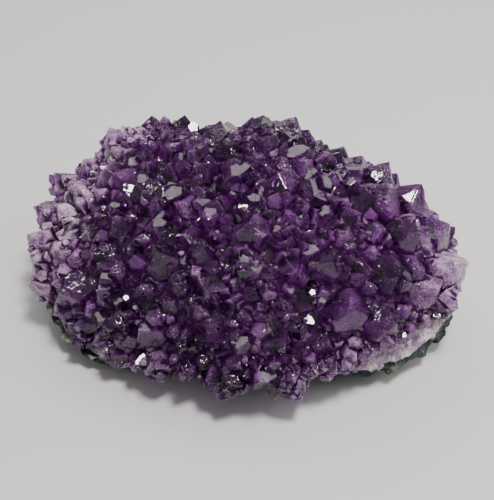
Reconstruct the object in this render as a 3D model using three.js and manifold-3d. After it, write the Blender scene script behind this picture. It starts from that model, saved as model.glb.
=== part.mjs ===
// An amethyst cluster: a domed bed of quartz crystals, grown together into one crust, on a layer
// of white quartz and a rind of dark green rock, which is cut flat where it rests.
// Millimetres, +Z up. The origin is on the surface that the rind rests on, under the middle.
import * as THREE from "three";
import { ConvexGeometry } from "three/addons/geometries/ConvexGeometry.js";
import { mergeVertices } from "three/addons/utils/BufferGeometryUtils.js";
import { ImprovedNoise } from "three/addons/math/ImprovedNoise.js";
import Module from "manifold-3d";

const wasm = await Module();
wasm.setup();

// Driving dimensions of the bed. Each ring holds one value for every 15 degrees, anticlockwise
// from +X: how far out the bed's rim lies, and how high.
const BED_RADIUS = [
  53, 49.5, 44, 40, 38, 37, 37, 38.5, 43, 48.5, 51.5, 54.5, 54.5, 49.5, 44, 40, 37.5, 37.5, 38.5,
  39.5, 39, 41.5, 47, 52,
];
const RIM_HEIGHT = [
  14.5, 15, 15.5, 16, 17.5, 18.5, 19, 20, 25, 27, 22.5, 16, 12.5, 9, 7, 7.5, 9, 10, 10, 10, 11,
  12.5, 13.5, 14.5,
];
const CROWN_HEIGHT = 37.5;
const CROWN_SLOPE = 0.1; // the crown rises towards the back
const DOME_POWER = 2.3;
const DOME_FULLNESS = 0.72;
// Broad swells and hollows of the bed: x, y, spread and height. They fade away at the rim.
const SWELL_FADE = 4;
const SWELLS = [
  [7, 25, 8, 7],
  [-7, 29, 5, -3],
  [-18, 27, 8, 1.5],
  [-38, 2, 10, -4],
  [30, -14, 14, 2.5],
  [-30, -22, 12, -1.5],
  [46, 2, 12, 2],
];

// White quartz under the crystals: its thickness at the crown, then how deep it is at the rim and
// how far its lower edge draws in, every 15 degrees.
const QUARTZ_THICKNESS = 4.5;
const QUARTZ_DEPTH = [
  4.5, 4, 4, 4, 4, 4, 4, 4, 4, 4, 3.5, 3, 2.5, 2.5, 2.5, 3, 3.5, 3.5, 3.5, 3.5, 4, 5, 5, 5,
];
const QUARTZ_DRAW = [
  -0.5, 0, 1, 1.5, 2, 2, 2, 2, 1.5, 1, 0.5, 0, 0, -1.5, -3, -2, 1, 2, 2.5, 2.5, 0, -4.5, -4.5,
  -2.5,
];
// The quartz's underside follows the bed as far as these shares, then runs out to the lower edge
// past a point that lies inside both the rim and the edge.
const UNDER_SHARES = [0, 0.6, 0.86];
const INSIDE_RIM = 0.93;
const INSIDE_EDGE = 1;
// The rind's ledge outside the quartz, and the foot that it stands on, every 15 degrees.
const LEDGE_WIDTH = [
  0.4, 0.6, 0.5, 0.5, 0.5, 0.5, 0.5, 0.5, 0.5, 0.5, 0.8, 1, 1, 1, 1.2, 0.4, -0.3, -0.5, -0.8,
  -0.8, -1, -1, -0.8, -0.2,
];
const FOOT_RADIUS = [
  39, 39, 36, 34, 32, 31, 31, 32, 34, 38, 41, 43, 44, 43, 42, 35, 30, 28, 28, 28.5, 30, 34, 38, 39,
];
const FOOT_RISE = 1.6; // height of the worn edge above the foot
const GAP = 0.3; // between two pieces that meet
const CRUST = 1.3; // crystal that covers the white quartz between the points
const FINEST = 0.2; // detail smaller than this is smoothed away after the crystals are joined
const TIDY = 0.01; // and slivers smaller than this after each cut

// The rind's side: how far in from the ledge towards the foot, how far down from the ledge to the
// worn edge above the foot, and how far out from there.
const RIND_SIDE = [
  [0, 0.45, 0.6],
  [0.35, 0.8, 0],
  [1, 1, 2],
];
const LEDGE_ROUND = 0.5; // how far the ledge's corner is worn down
// Its roughness: how far it moves the side in and out, at the foot too, and the width, the height
// and the strength of its coarse and its fine waves.
const RIND_ROUGHNESS = 1.1;
const FOOT_ROUGHNESS = 0.8;
const ROCK_WAVES = [
  [7, 5, 1],
  [2.7, 2.7, 0.5],
];
// Broken lumps and flakes of rock on the rind's side. Each row is a stretch of the rim: the angles
// where it starts and ends, how many, how high up the side, and the half-lengths of one outward,
// along the rim and upward.
const LUMPS = [
  [-57, -12, 6, 0.5, 2.8, 4.4, 2.6],
  [186, 197, 2, 0.9, 3.6, 5, 1.1],
  [201, 213, 2, 0.8, 3.8, 5, 1.1],
  [25, 170, 3, 0.5, 2.4, 5, 2.6],
];
const LUMP_CORNERS = 12;
const LUMP_SUNK = 0.3; // share of its outward half-length that lies inside the ledge
const LUMP_SCATTER = [0.85, 1.05]; // how far out its corners lie
const LUMP_TILT = 0.25;
const LUMP_LEVEL = [0.8, 1.1];
const LUMP_SCALE = [0.75, 1.1];
const ROCK_SEED = 31;

// How finely the bed is divided: shares of the way from the middle to the rim, and segments round.
const BED_SHARES = [0, 0.35, 0.65, 0.86, 0.96, 1];
const BED_SEGMENTS = 30;
const RIND_RISE = 1; // how far the rind reaches into the quartz before it is cut
const CRUST_DEPTH = 2; // how far the crust reaches into the quartz before it is cut

// Quartz: a hexagonal prism under two sets of three rhombohedral faces.
const FACE_SLOPE = THREE.MathUtils.degToRad(38.2); // of a tip face's normal, over the horizontal
const ROOT_DEPTH = 3; // how far a crystal reaches into the bed
const SPLAY = 0.3; // how far a crystal leans from the bed's normal at random
const UPTURN = 0.35; // how far the crystals at the rim turn up from the bed's normal
const UPTURN_REACH = 4; // the higher, the nearer the rim that begins
const THREE_FACED = 0.45; // share of the crystals that lack the three small tip faces
// In half-widths: how far a tip stands over the bed, how far out the prism faces lie, and how far
// the large and the small tip faces lie from meeting in one point.
const STANDING = [1.2, 1.7];
const PRISM_FACE = [0.8, 0.98];
const LARGE_FACE = [-0.12, 0.22];
const SMALL_FACE = [0.05, 0.6];

// The large crystals that can be told apart: x, y and half their width, before they are all grown
// by one share until they crowd each other.
const CROWDING = 1.1;
const LARGE = [
  [4, 21, 3.2], [10, 21, 4.8], [15, 18, 3.2], [22, 15, 4], [8.5, -1, 5.6], [14, 6, 4],
  [21, 2, 3], [25.5, 0, 3], [17, -3.5, 4.5], [32, 6, 3.6], [33, -2, 5.4], [40, 2, 5],
  [47, -3, 4.8], [48, -12, 5.4], [34, -19, 5.2], [23, -27, 5.4], [18, -20.5, 4.8],
  [4.5, -29, 3.7], [0, -21.5, 4.3], [-8, -25, 4.6], [31, -13, 3.6], [37, -11, 4.5],
  [14, -18, 3.3], [17.5, -9.5, 3.2], [2, -6, 4.3], [-2, -10, 3], [-2, 4, 5.2],
  [5.5, -24.5, 3.4], [13, -26.5, 3.4], [12.5, -32, 4], [7.5, -35, 3.8], [-0.5, -34.5, 3.8],
  [3.5, -38, 4], [9, -38.5, 4], [-3, -38, 4.3], [13.5, -36.5, 3], [17, -35, 3], [21, -33.5, 4],
  [26.5, -31, 4.8], [31, -27, 4.5], [37, -23.5, 3.2], [43, -18, 4.6], [35, -26, 4.2],
  [29, -31, 3.6], [-40, -21, 3.6], [-27, -32, 3.4], [47.5, -17, 4], [39, -16, 4.2],
  [11, -13, 3.2], [9, -17, 3], [22.5, -14, 3.2], [25, -9, 3.5], [27.5, -5, 3.8], [13, 12, 3.6],
  [19, 10.5, 3.6], [27, 7.5, 3.3], [-17, 27, 4.2], [-31, 27, 3.4], [-35, 23, 3.2],
  [-25.5, 23, 4], [-29, 18, 3.8], [-35, 13.5, 4.4], [-19, 15, 4.5], [-13, 12, 4.4],
  [-6.5, 20, 5], [-4, 12, 4.3], [-25, 6, 4], [-18, -1.5, 4.4], [-30, 4, 3.2], [-14, -5.5, 3.5],
  [-6.5, -8, 4.4], [-21, -8, 3.6], [-36.5, 3, 4], [-43, 10, 4], [-46, 3.5, 4.3], [-51, 4, 4],
  [-52.5, -2, 3.6], [-47, -4, 4], [-39, -4, 4], [-31.5, -4, 4.2], [-26, -4, 3.3],
  [-35, -11, 4.5], [-27, -12.5, 4.6], [-19, -17, 4.6], [-34.5, -17.5, 3.8], [-42, -14, 4.6],
  [-46.5, -10, 3.5], [-24, -20, 4], [-20, -24, 3.2], [-34, -23.5, 4], [-28.5, -24.5, 3.4],
  [-22, -28, 4], [-32, -27.5, 3.6], [-21, -32, 4], [-14, -32, 4.8], [-7.5, -37.5, 3.2],
  [-12, -36, 3.8], [-7.5, -31, 4], [-3.5, -27.5, 3.4], [-15, -22.5, 3.8], [-10.5, -17, 4],
  [-13.5, -13, 3.4], [-7.5, -13.5, 3.2], [-19, -11.5, 3.6],
];
// Then two growths fill the bed by chance: the tries, how near a crystal comes to another as a
// share of their half-widths, and the smallest and largest half-width.
const GROWTHS = [
  [1500, 0.7, 3.9, 4.8],
  [250, 0.65, 3, 3.7],
];
const OUTWARD = 0.35; // under 0.5, so that more of them stand towards the rim
const CRYSTAL_SEED = 997;

const TURN = 2 * Math.PI;
const CELLS = BED_RADIUS.length;
const NORMAL_STEP = 1e-3; // between the points that a normal of the bed is taken from
const NEARLY_FLAT = 1e-6; // planes that meet at less than this meet in no point
const SAME_POINT = 1e-4;
const noise = new ImprovedNoise();

// A plain multiplicative generator, so that the cluster is the same wherever it is grown. It gives
// a function that draws a number between two others.
function generator(seed) {
  let state = seed;
  return (low = 0, high = 1) => {
    state = (state * 48271) % 2147483647;
    return low + ((high - low) * state) / 2147483647;
  };
}

const chance = generator(CRYSTAL_SEED);
const rockChance = generator(ROCK_SEED);

// The value of a ring at an angle, on a smooth closed curve through its values.
function ringAt(ring, angle) {
  const place = ((((angle % TURN) + TURN) % TURN) / TURN) * CELLS;
  const cell = Math.floor(place);
  const f = place - cell;
  const [a, b, c, d] = [-1, 0, 1, 2].map((k) => ring[(cell + k + CELLS) % CELLS]);
  return (
    0.5 *
    (2 * b + (c - a) * f + (2 * a - 5 * b + 4 * c - d) * f * f + (3 * b - a - 3 * c + d) * f ** 3)
  );
}

// The height of a dome from a rim's height to a crown's, with the bed's swells on it.
function domeHeight(x, y, share, rim, crown) {
  const dome = (1 - share ** DOME_POWER) ** DOME_FULLNESS;
  let z = rim + (crown + CROWN_SLOPE * y - rim) * dome;
  for (const [sx, sy, spread, height] of SWELLS) {
    const swell = Math.exp(-((x - sx) ** 2 + (y - sy) ** 2) / (2 * spread ** 2));
    z += height * swell * (1 - share ** SWELL_FADE);
  }
  return z;
}

// A point of the bed, at an angle and a share of the way from the middle to the rim.
function bedPoint(angle, share) {
  const radius = ringAt(BED_RADIUS, angle) * share;
  const x = radius * Math.cos(angle);
  const y = radius * Math.sin(angle);
  const z = domeHeight(x, y, share, ringAt(RIM_HEIGHT, angle), CROWN_HEIGHT);
  return new THREE.Vector3(x, y, z);
}

function bedNormal(angle, share) {
  const s = Math.min(Math.max(share, NORMAL_STEP), 1 - 2 * NORMAL_STEP);
  const around = bedPoint(angle + NORMAL_STEP, s).sub(bedPoint(angle - NORMAL_STEP, s));
  const outward = bedPoint(angle, s + NORMAL_STEP).sub(bedPoint(angle, s - NORMAL_STEP));
  return outward.cross(around).normalize();
}

// The corners of the shape that a set of planes encloses. Each plane is [normal, distance].
function cornersWithin(planes) {
  const corners = [];
  const at = new THREE.Vector3();
  const grid = new THREE.Matrix3();
  for (let i = 0; i < planes.length; i++) {
    for (let j = i + 1; j < planes.length; j++) {
      for (let k = j + 1; k < planes.length; k++) {
        const [a, b, c] = [planes[i], planes[j], planes[k]];
        grid.set(...a[0].toArray(), ...b[0].toArray(), ...c[0].toArray());
        if (Math.abs(grid.determinant()) < NEARLY_FLAT) continue;
        at.set(a[1], b[1], c[1]).applyMatrix3(grid.invert());
        if (planes.every(([normal, distance]) => normal.dot(at) <= distance + NEARLY_FLAT)) {
          if (corners.every((p) => p.distanceTo(at) > SAME_POINT)) corners.push(at.clone());
        }
      }
    }
  }
  return corners;
}

// A crystal stands on its own +Z, with its root at the origin. Its six prism faces lie at uneven
// distances, and of its six tip faces three are large and three are small, as in real quartz.
function crystalPlanes(width, reach) {
  const planes = [[new THREE.Vector3(0, 0, -1), ROOT_DEPTH]];
  const plain = chance() < THREE_FACED;
  for (let k = 0; k < 6; k++) {
    const turn = (k * Math.PI) / 3;
    const side = width * chance(...PRISM_FACE);
    planes.push([new THREE.Vector3(Math.cos(turn), Math.sin(turn), 0), side]);
  }
  for (let k = 0; k < 6; k++) {
    const turn = (k * Math.PI) / 3;
    const raise = k % 2 ? chance(...SMALL_FACE) : chance(...LARGE_FACE);
    if (plain && k % 2) continue;
    const flat = Math.cos(FACE_SLOPE);
    const normal = new THREE.Vector3(
      flat * Math.cos(turn),
      flat * Math.sin(turn),
      Math.sin(FACE_SLOPE),
    );
    planes.push([normal, (reach + raise * width) * Math.sin(FACE_SLOPE)]);
  }
  return planes;
}

// One crystal on the bed. It leans a little from the bed's normal, less than the bed at the rim.
function crystalAt(angle, share, width) {
  const root = bedPoint(angle, share);
  const normal = bedNormal(angle, share);
  const leanTurn = chance(0, TURN);
  const lean = SPLAY * Math.sqrt(chance());
  const spin = chance(0, TURN);
  const reach = width * chance(...STANDING);
  const axis = normal.clone();
  axis.z += UPTURN * share ** UPTURN_REACH * (1 - normal.z);
  axis.x += lean * Math.cos(leanTurn);
  axis.y += lean * Math.sin(leanTurn);
  axis.normalize();
  const planes = crystalPlanes(width, reach);
  const turn = new THREE.Quaternion()
    .setFromUnitVectors(new THREE.Vector3(0, 0, 1), axis)
    .multiply(new THREE.Quaternion().setFromAxisAngle(new THREE.Vector3(0, 0, 1), spin));
  const corners = cornersWithin(planes).map((p) => p.applyQuaternion(turn).add(root));
  return { root, width, corners };
}

// All the crystals: the large ones where they are, then each growth where there is room.
function growCrystals() {
  const grown = LARGE.map(([x, y, width]) => {
    const angle = Math.atan2(y, x);
    const share = Math.min(Math.hypot(x, y) / ringAt(BED_RADIUS, angle), 1);
    return crystalAt(angle, share, width * CROWDING);
  });
  for (const [tries, closeness, least, most] of GROWTHS) {
    for (let k = 0; k < tries; k++) {
      const angle = chance(0, TURN);
      const share = chance() ** OUTWARD;
      const width = chance(least, most);
      const root = bedPoint(angle, share);
      const room = grown.every(
        (other) => other.root.distanceTo(root) > closeness * (other.width + width),
      );
      if (room) grown.push(crystalAt(angle, share, width));
    }
  }
  return grown;
}

// A closed geometry with its seams welded, and without the faces that the welding flattens.
function welded(geometry) {
  const plain = geometry.clone();
  plain.deleteAttribute("normal");
  plain.deleteAttribute("uv");
  const merged = mergeVertices(plain, SAME_POINT);
  const corners = merged.index.array;
  const kept = [];
  for (let i = 0; i < corners.length; i += 3) {
    const [a, b, c] = corners.slice(i, i + 3);
    if (a !== b && b !== c && c !== a) kept.push(a, b, c);
  }
  merged.setIndex(kept);
  return merged;
}

// A closed geometry as a solid that can be joined and cut.
function solidOf(geometry) {
  const merged = welded(geometry);
  return new wasm.Manifold(
    new wasm.Mesh({
      numProp: 3,
      vertProperties: merged.attributes.position.array,
      triVerts: new Uint32Array(merged.index.array),
    }),
  );
}

// The outer shell of a solid, as a mesh's geometry. Crystals that lean together can shut in a
// hollow, and a crystal at the rim can be cut off from the rest: both are left out.
function outerShell(solid) {
  const clean = solid.asOriginal().simplify(TIDY);
  const [body] = clean.decompose().sort((a, b) => b.volume() - a.volume());
  const { vertProperties, triVerts } = body.getMesh();
  const geometry = new THREE.BufferGeometry();
  geometry.setAttribute("position", new THREE.BufferAttribute(vertProperties, 3));
  geometry.setIndex(new THREE.BufferAttribute(triVerts, 1));
  const faceted = geometry.toNonIndexed();
  faceted.computeVertexNormals();
  return faceted;
}

// A turned body whose outline changes round the axis: profile(angle) gives [radius, height] pairs,
// as many at every angle, from the top on the axis to the bottom on the axis.
function bentLathe(profile, segments) {
  const count = profile(0).length;
  const straight = Array.from(
    { length: count },
    (_, j) => new THREE.Vector2(j === 0 || j === count - 1 ? 0 : 1, count - j),
  );
  const geometry = new THREE.LatheGeometry(straight, segments);
  const position = geometry.attributes.position;
  for (let i = 0; i <= segments; i++) {
    const angle = (((segments - i) % segments) / segments) * TURN;
    profile(angle).forEach(([radius, height], j) => {
      const x = radius * Math.cos(angle);
      const y = radius * Math.sin(angle);
      position.setXYZ(i * count + j, x, y, height);
    });
  }
  return geometry;
}

// A profile moved outward everywhere by a margin, with its corners kept sharp.
function grownProfile(profile, margin) {
  return (angle) => {
    const points = profile(angle).map(([radius, height]) => new THREE.Vector2(radius, height));
    const sides = points.slice(1).map((p, j) => {
      const along = p.clone().sub(points[j]).normalize();
      return new THREE.Vector2(-along.y, along.x);
    });
    return points.map((p, j) => {
      if (p.x === 0) return [0, p.y + (j === 0 ? margin : -margin)];
      const before = sides[Math.max(j - 1, 0)];
      const after = sides[Math.min(j, sides.length - 1)];
      const bend = Math.max(1 + before.dot(after), 0.5);
      const moved = p.clone().addScaledVector(before.clone().add(after), margin / bend);
      return [moved.x, moved.y];
    });
  };
}

function bedRings(angle) {
  return BED_SHARES.map((share) => {
    return [ringAt(BED_RADIUS, angle) * share, bedPoint(angle, share).z];
  });
}

function quartzEdge(angle) {
  return [
    ringAt(BED_RADIUS, angle) - ringAt(QUARTZ_DRAW, angle),
    ringAt(RIM_HEIGHT, angle) - ringAt(QUARTZ_DEPTH, angle),
  ];
}

// The underside of the white quartz, which the rind backs, from the middle out. It can be raised,
// all but its edge, to reach into the quartz.
function quartzUnderside(angle, raise = 0) {
  const under = UNDER_SHARES.map((share) => {
    const radius = ringAt(BED_RADIUS, angle) * share;
    return [radius, bedPoint(angle, share).z - QUARTZ_THICKNESS + raise];
  });
  const [edge, low] = quartzEdge(angle);
  const inside = Math.min(INSIDE_RIM * ringAt(BED_RADIUS, angle), edge - INSIDE_EDGE);
  const belowRim = [inside, (ringAt(RIM_HEIGHT, angle) + low + raise) / 2];
  return [...under, belowRim, [edge, low]];
}

function quartzProfile(angle) {
  return [...bedRings(angle), ...quartzUnderside(angle).reverse()];
}

// The rind's side, from the top of its ledge to its foot.
function rindProfile(angle) {
  const [edge, low] = quartzEdge(angle);
  const ledge = edge + ringAt(LEDGE_WIDTH, angle);
  const foot = ringAt(FOOT_RADIUS, angle);
  const top = low - GAP;
  const { lerp } = THREE.MathUtils;
  const side = [
    [edge, top, 0],
    [ledge, top - LEDGE_ROUND, 1],
    ...RIND_SIDE.map(([inward, down, out]) => {
      return [lerp(ledge, foot, inward) + out, lerp(top, FOOT_RISE, down), 1];
    }),
    [foot, 0, FOOT_ROUGHNESS],
  ];
  const rough = side.map(([radius, height, amount]) => {
    const [x, y] = [radius * Math.cos(angle), radius * Math.sin(angle)];
    const waves = ROCK_WAVES.map(([wide, high, strength]) => {
      return strength * noise.noise(x / wide, y / wide, height / high);
    });
    return [radius + RIND_ROUGHNESS * amount * (waves[0] + waves[1]), height];
  });
  return [...quartzUnderside(angle, RIND_RISE).slice(0, -1), ...rough, [0, 0]];
}

function crustProfile(angle) {
  const inner = bedRings(angle).slice(0, -1);
  const under = inner.map(([radius, height]) => [radius, height - CRUST_DEPTH]);
  return [...grownProfile(bedRings, CRUST)(angle), ...under.reverse()];
}

function hull(corners) {
  return solidOf(new ConvexGeometry(corners));
}

// The hull of some corners, grown by the gap on every side.
function hullAround(corners) {
  const far = GAP * Math.sqrt(3);
  const ways = [-far, far].flatMap((d) => [
    new THREE.Vector3(d, 0, 0),
    new THREE.Vector3(0, d, 0),
    new THREE.Vector3(0, 0, d),
  ]);
  return hull(corners.flatMap((p) => ways.map((way) => p.clone().add(way))));
}

// The corners of one lump of rock: a few points scattered over an ellipsoid.
function lumpCorners(angle, radius, height, [outward, along, upward]) {
  return Array.from({ length: LUMP_CORNERS }, () => {
    const p = new THREE.Vector3(rockChance(-1, 1), rockChance(-1, 1), rockChance(-1, 1));
    p.normalize().multiplyScalar(rockChance(...LUMP_SCATTER));
    p.set(p.x * outward, p.y * along, p.z * upward);
    p.applyAxisAngle(new THREE.Vector3(1, 0, 0), rockChance(-LUMP_TILT, LUMP_TILT));
    p.x += radius;
    p.z += height;
    return p.applyAxisAngle(new THREE.Vector3(0, 0, 1), angle);
  });
}

// The corners of every lump, spread along its stretch of the rim and half sunk in the rind.
const lumps = LUMPS.flatMap(([start, end, count, level, ...size]) =>
  Array.from({ length: count }, (_, k) => {
    const angle = THREE.MathUtils.degToRad(start + ((end - start) * (k + rockChance())) / count);
    const [edge, low] = quartzEdge(angle);
    const height = FOOT_RISE + (low - FOOT_RISE) * level * rockChance(...LUMP_LEVEL);
    const scale = rockChance(...LUMP_SCALE);
    const radius = edge + ringAt(LEDGE_WIDTH, angle) - LUMP_SUNK * size[0];
    return lumpCorners(angle, radius, height, size.map((half) => half * scale));
  }),
);

const whiteQuartz = bentLathe(quartzProfile, BED_SEGMENTS);
const aroundQuartz = solidOf(bentLathe(grownProfile(quartzProfile, GAP), BED_SEGMENTS));
const rock = wasm.Manifold.union([
  solidOf(bentLathe(rindProfile, BED_SEGMENTS)),
  ...lumps.map(hull),
]);
const greenRind = outerShell(rock.subtract(aroundQuartz).trimByPlane([0, 0, 1], 0));
const aroundRock = wasm.Manifold.union([
  solidOf(bentLathe(grownProfile(rindProfile, GAP), BED_SEGMENTS)),
  ...lumps.map(hullAround),
]);

function crystalCrust() {
  const crust = solidOf(bentLathe(crustProfile, BED_SEGMENTS));
  const points = growCrystals().map(({ corners }) => hull(corners));
  const joined = wasm.Manifold.union([crust, ...points]).asOriginal().simplify(FINEST);
  return outerShell(joined.subtract(aroundQuartz).subtract(aroundRock));
}

function piece(name, geometry, look) {
  const mesh = new THREE.Mesh(geometry, new THREE.MeshStandardMaterial(look));
  mesh.name = name;
  return mesh;
}

const cluster = new THREE.Group();
cluster.add(
  piece("amethyst_crystals", crystalCrust(), {
    color: 0x5b2a80,
    roughness: 0.12,
    metalness: 0,
  }),
  piece("white_quartz", whiteQuartz, { color: 0xd8ccd6, roughness: 0.45, metalness: 0 }),
  piece("green_rind", greenRind, { color: 0x2c3a33, roughness: 0.85, metalness: 0 }),
);

export default cluster;
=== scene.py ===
"""An amethyst cluster: purple quartz crystals on a layer of white quartz and a rind of dark rock."""
import logging
import math
from dataclasses import dataclass, field
from enum import Enum
from itertools import combinations
from typing import Callable, Sequence

import bmesh
import bpy
import numpy as np
from mathutils import Matrix, Quaternion, Vector, noise
from mathutils.bvhtree import BVHTree


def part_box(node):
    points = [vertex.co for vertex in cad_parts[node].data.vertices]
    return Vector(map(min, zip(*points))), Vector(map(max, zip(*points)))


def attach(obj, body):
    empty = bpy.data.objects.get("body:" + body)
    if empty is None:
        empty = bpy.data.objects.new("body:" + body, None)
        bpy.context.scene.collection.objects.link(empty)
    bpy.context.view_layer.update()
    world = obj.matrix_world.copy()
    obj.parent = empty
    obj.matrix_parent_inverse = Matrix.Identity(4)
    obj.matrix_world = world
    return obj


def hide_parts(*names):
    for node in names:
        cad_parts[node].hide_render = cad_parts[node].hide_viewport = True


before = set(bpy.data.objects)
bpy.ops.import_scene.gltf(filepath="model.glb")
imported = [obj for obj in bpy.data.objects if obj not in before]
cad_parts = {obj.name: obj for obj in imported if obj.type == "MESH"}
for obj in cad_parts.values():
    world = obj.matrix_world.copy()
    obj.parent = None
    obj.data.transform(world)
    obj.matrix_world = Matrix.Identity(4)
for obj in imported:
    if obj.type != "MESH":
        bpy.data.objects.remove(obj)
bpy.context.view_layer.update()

log = logging.getLogger("cluster")

MM = 0.001
TURN = 2 * math.pi

Range = tuple[float, float]
Ring = tuple[float, ...]
Spots = tuple[tuple[float, float, float, float], ...]
Colour = tuple[float, float, float]
Span = tuple[float, ...]

# A crystal's form: how steep its tip faces are, how deep it goes below its root, how often only
# three tip faces show, and how far out its prism faces and its two sets of tip faces lie.
FACE_SLOPE = math.radians(38.2)
ROOT_DEPTH = 3.0
THREE_FACED = 0.45
PRISM_FACE = (0.8, 0.98)
LARGE_FACE = (-0.12, 0.22)
SMALL_FACE = (0.05, 0.6)
# How steeply a chip leans and how much of its depth it takes.
CHIP_RISE = (0.25, 1.3)
CHIP_DEPTH = (0.25, 1.0)
# A worn crystal is made this much larger before it is smoothed so many times.
WORN_SPARE = 1.12
WORN_ROUNDS = 2
# What counts as flat, as the same place and as on a face, in millimetres.
FLAT = 1e-6
SAME = 1e-4
ON_FACE = 1e-3

# The large crystals that can be told apart: x, y and half their width.
LARGE = (
    (4, 21, 3.2), (10, 21, 4.8), (15, 18, 3.2), (22, 15, 4), (8.5, -1, 5.6), (14, 6, 4),
    (21, 2, 3), (25.5, 0, 3), (17, -3.5, 4.5), (32, 6, 3.6), (33, -2, 5.4), (40, 2, 5),
    (47, -3, 4.8), (48, -12, 5.4), (34, -19, 5.2), (23, -27, 5.4), (18, -20.5, 4.8),
    (4.5, -29, 3.7), (0, -21.5, 4.3), (-8, -25, 4.6), (31, -13, 3.6), (37, -11, 4.5),
    (14, -18, 3.3), (17.5, -9.5, 3.2), (2, -6, 4.3), (-2, -10, 3), (-2, 4, 5.2),
    (5.5, -24.5, 3.4), (13, -26.5, 3.4), (12.5, -32, 4), (7.5, -35, 3.8), (-0.5, -34.5, 3.8),
    (3.5, -38, 4), (9, -38.5, 4), (-3, -38, 4.3), (13.5, -36.5, 3), (17, -35, 3),
    (21, -33.5, 4), (26.5, -31, 4.8), (31, -27, 4.5), (37, -23.5, 3.2), (43, -18, 4.6),
    (35, -26, 4.2), (29, -31, 3.6), (-40, -21, 3.6), (-27, -32, 3.4), (47.5, -17, 4),
    (39, -16, 4.2), (11, -13, 3.2), (9, -17, 3), (22.5, -14, 3.2), (25, -9, 3.5),
    (27.5, -5, 3.8), (13, 12, 3.6), (19, 10.5, 3.6), (27, 7.5, 3.3), (-17, 27, 4.2),
    (-31, 27, 3.4), (-35, 23, 3.2), (-25.5, 23, 4), (-29, 18, 3.8), (-35, 13.5, 4.4),
    (-19, 15, 4.5), (-13, 12, 4.4), (-6.5, 20, 5), (-4, 12, 4.3), (-25, 6, 4),
    (-18, -1.5, 4.4), (-30, 4, 3.2), (-14, -5.5, 3.5), (-6.5, -8, 4.4), (-21, -8, 3.6),
    (-36.5, 3, 4), (-43, 10, 4), (-46, 3.5, 4.3), (-51, 4, 4), (-52.5, -2, 3.6),
    (-47, -4, 4), (-39, -4, 4), (-31.5, -4, 4.2), (-26, -4, 3.3), (-35, -11, 4.5),
    (-27, -12.5, 4.6), (-19, -17, 4.6), (-34.5, -17.5, 3.8), (-42, -14, 4.6),
    (-46.5, -10, 3.5), (-24, -20, 4), (-20, -24, 3.2), (-34, -23.5, 4), (-28.5, -24.5, 3.4),
    (-22, -28, 4), (-32, -27.5, 3.6), (-21, -32, 4), (-14, -32, 4.8), (-7.5, -37.5, 3.2),
    (-12, -36, 3.8), (-7.5, -31, 4), (-3.5, -27.5, 3.4), (-15, -22.5, 3.8), (-10.5, -17, 4),
    (-13.5, -13, 3.4), (-7.5, -13.5, 3.2), (-19, -11.5, 3.6),
)

# Where crystals are cloudy and pale, seen from above: x, y, spread and strength.
PALE_SPOTS = (
    (-54, -3, 8, 1.0), (-50, 6, 8, 0.95), (-44, 15, 8, 0.9), (-36, 22, 7, 0.85), (-31, 29, 5, 0.8),
    (-20, 32, 5, 0.7), (8, 26, 4, 0.4), (23, 3, 3, 0.5), (47, -11, 6, 0.95), (50, -18, 5, 0.6),
    (47, 2, 4, 0.35), (28, -30, 4, 0.45), (-34, -23, 5, 0.45), (-23, -33, 6, 0.5),
    (-1, -36, 3, 0.45), (14, -38, 4, 0.5), (23, -33, 4, 0.5), (-8, -24, 4, 0.45),
    (0, -21, 3, 0.35), (4.5, -30, 3, 0.5), (8, 3, 4, 0.35), (-45, -12, 4, 0.4), (14, -27, 3, 0.5),
)
# Where they are so deep in colour that they look black.
DEEP_SPOTS = (
    (18, -4, 5, 0.7), (-9, -12, 6, 0.6), (-30, 1, 6, 0.7), (19, -19, 4, 0.6), (5, -23, 3, 0.8),
    (-12, 12, 8, 0.5), (3, 12, 5, 0.6), (-8, -32, 6, 0.6), (30, -22, 4, 0.5), (-38, -10, 6, 0.45),
    (8, -33, 4, 0.4),
)
# Where small crystals cover the large ones.
FROST_SPOTS = (
    (-54, -3, 6, 0.9), (-50, 6, 6, 0.9), (-44, 15, 6, 0.8), (-36, 24, 5, 0.7), (-31, 31, 5, 0.7),
    (-24, -33, 5, 0.4), (6, -40, 7, 0.4),
)
# Where they are full of small bright cracks.
FLAWED_SPOTS = (
    (-10, -24, 3.5, 0.9), (-1, -21, 3, 0.8), (4, -29, 3, 0.8), (8, 2, 5, 0.8), (14, -27, 3, 0.9),
    (33, 6, 3, 0.9), (23, 3, 3, 0.8), (-36, -21, 4, 0.7), (-15, -32, 4, 0.8), (28, -28, 4, 0.7),
    (47, 1, 4, 0.8), (5, 22, 4, 0.7), (-20, -22, 4, 0.7), (-30, 20, 5, 0.7),
)
# Where their tips are worn to blunt domes.
WORN_SPOTS = (
    (42, 0, 8, 0.9), (46, -12, 7, 0.9), (32, -16, 7, 0.7), (8, 2, 4, 0.8), (12, 22, 4, 0.8),
    (18, -8, 4, 0.8), (24, -28, 5, 0.6), (-16, -4, 5, 0.6), (-50, 0, 8, 0.6), (-14, -33, 5, 0.5),
)

# Where the eye and the two lamps that gleam in the crystals' faces are, in millimetres.
VIEW_MIDDLE = np.array((0.0, 0.0, 18.0))
VIEW_DISTANCE = 260.0
VIEW_RISE = math.radians(40)
VIEW_WAY = np.array((0.0, -math.cos(VIEW_RISE), math.sin(VIEW_RISE)))
EYE = VIEW_MIDDLE + VIEW_DISTANCE * VIEW_WAY
WINDOW_AT = np.array((-160.0, 400.0, 500.0))
SPARK_AT = np.array((120.0, -100.0, 600.0))
# Crystals with a tip face that throws the small lamp's light back: x, y and half their width.
SPARKLING = (
    (-0.5, -9.5, 2), (-28.7, 5.1, 2.2), (-15.1, 23.3, 1.7), (32.1, 6.8, 2.1),
    (-28.9, -23.4, 2.4), (13.4, -30.2, 1.6), (14.7, -25.4, 1.1), (44.7, -19.9, 1.2),
    (-28.6, 17.2, 1.6), (-27.7, -20.8, 1),
)
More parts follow.
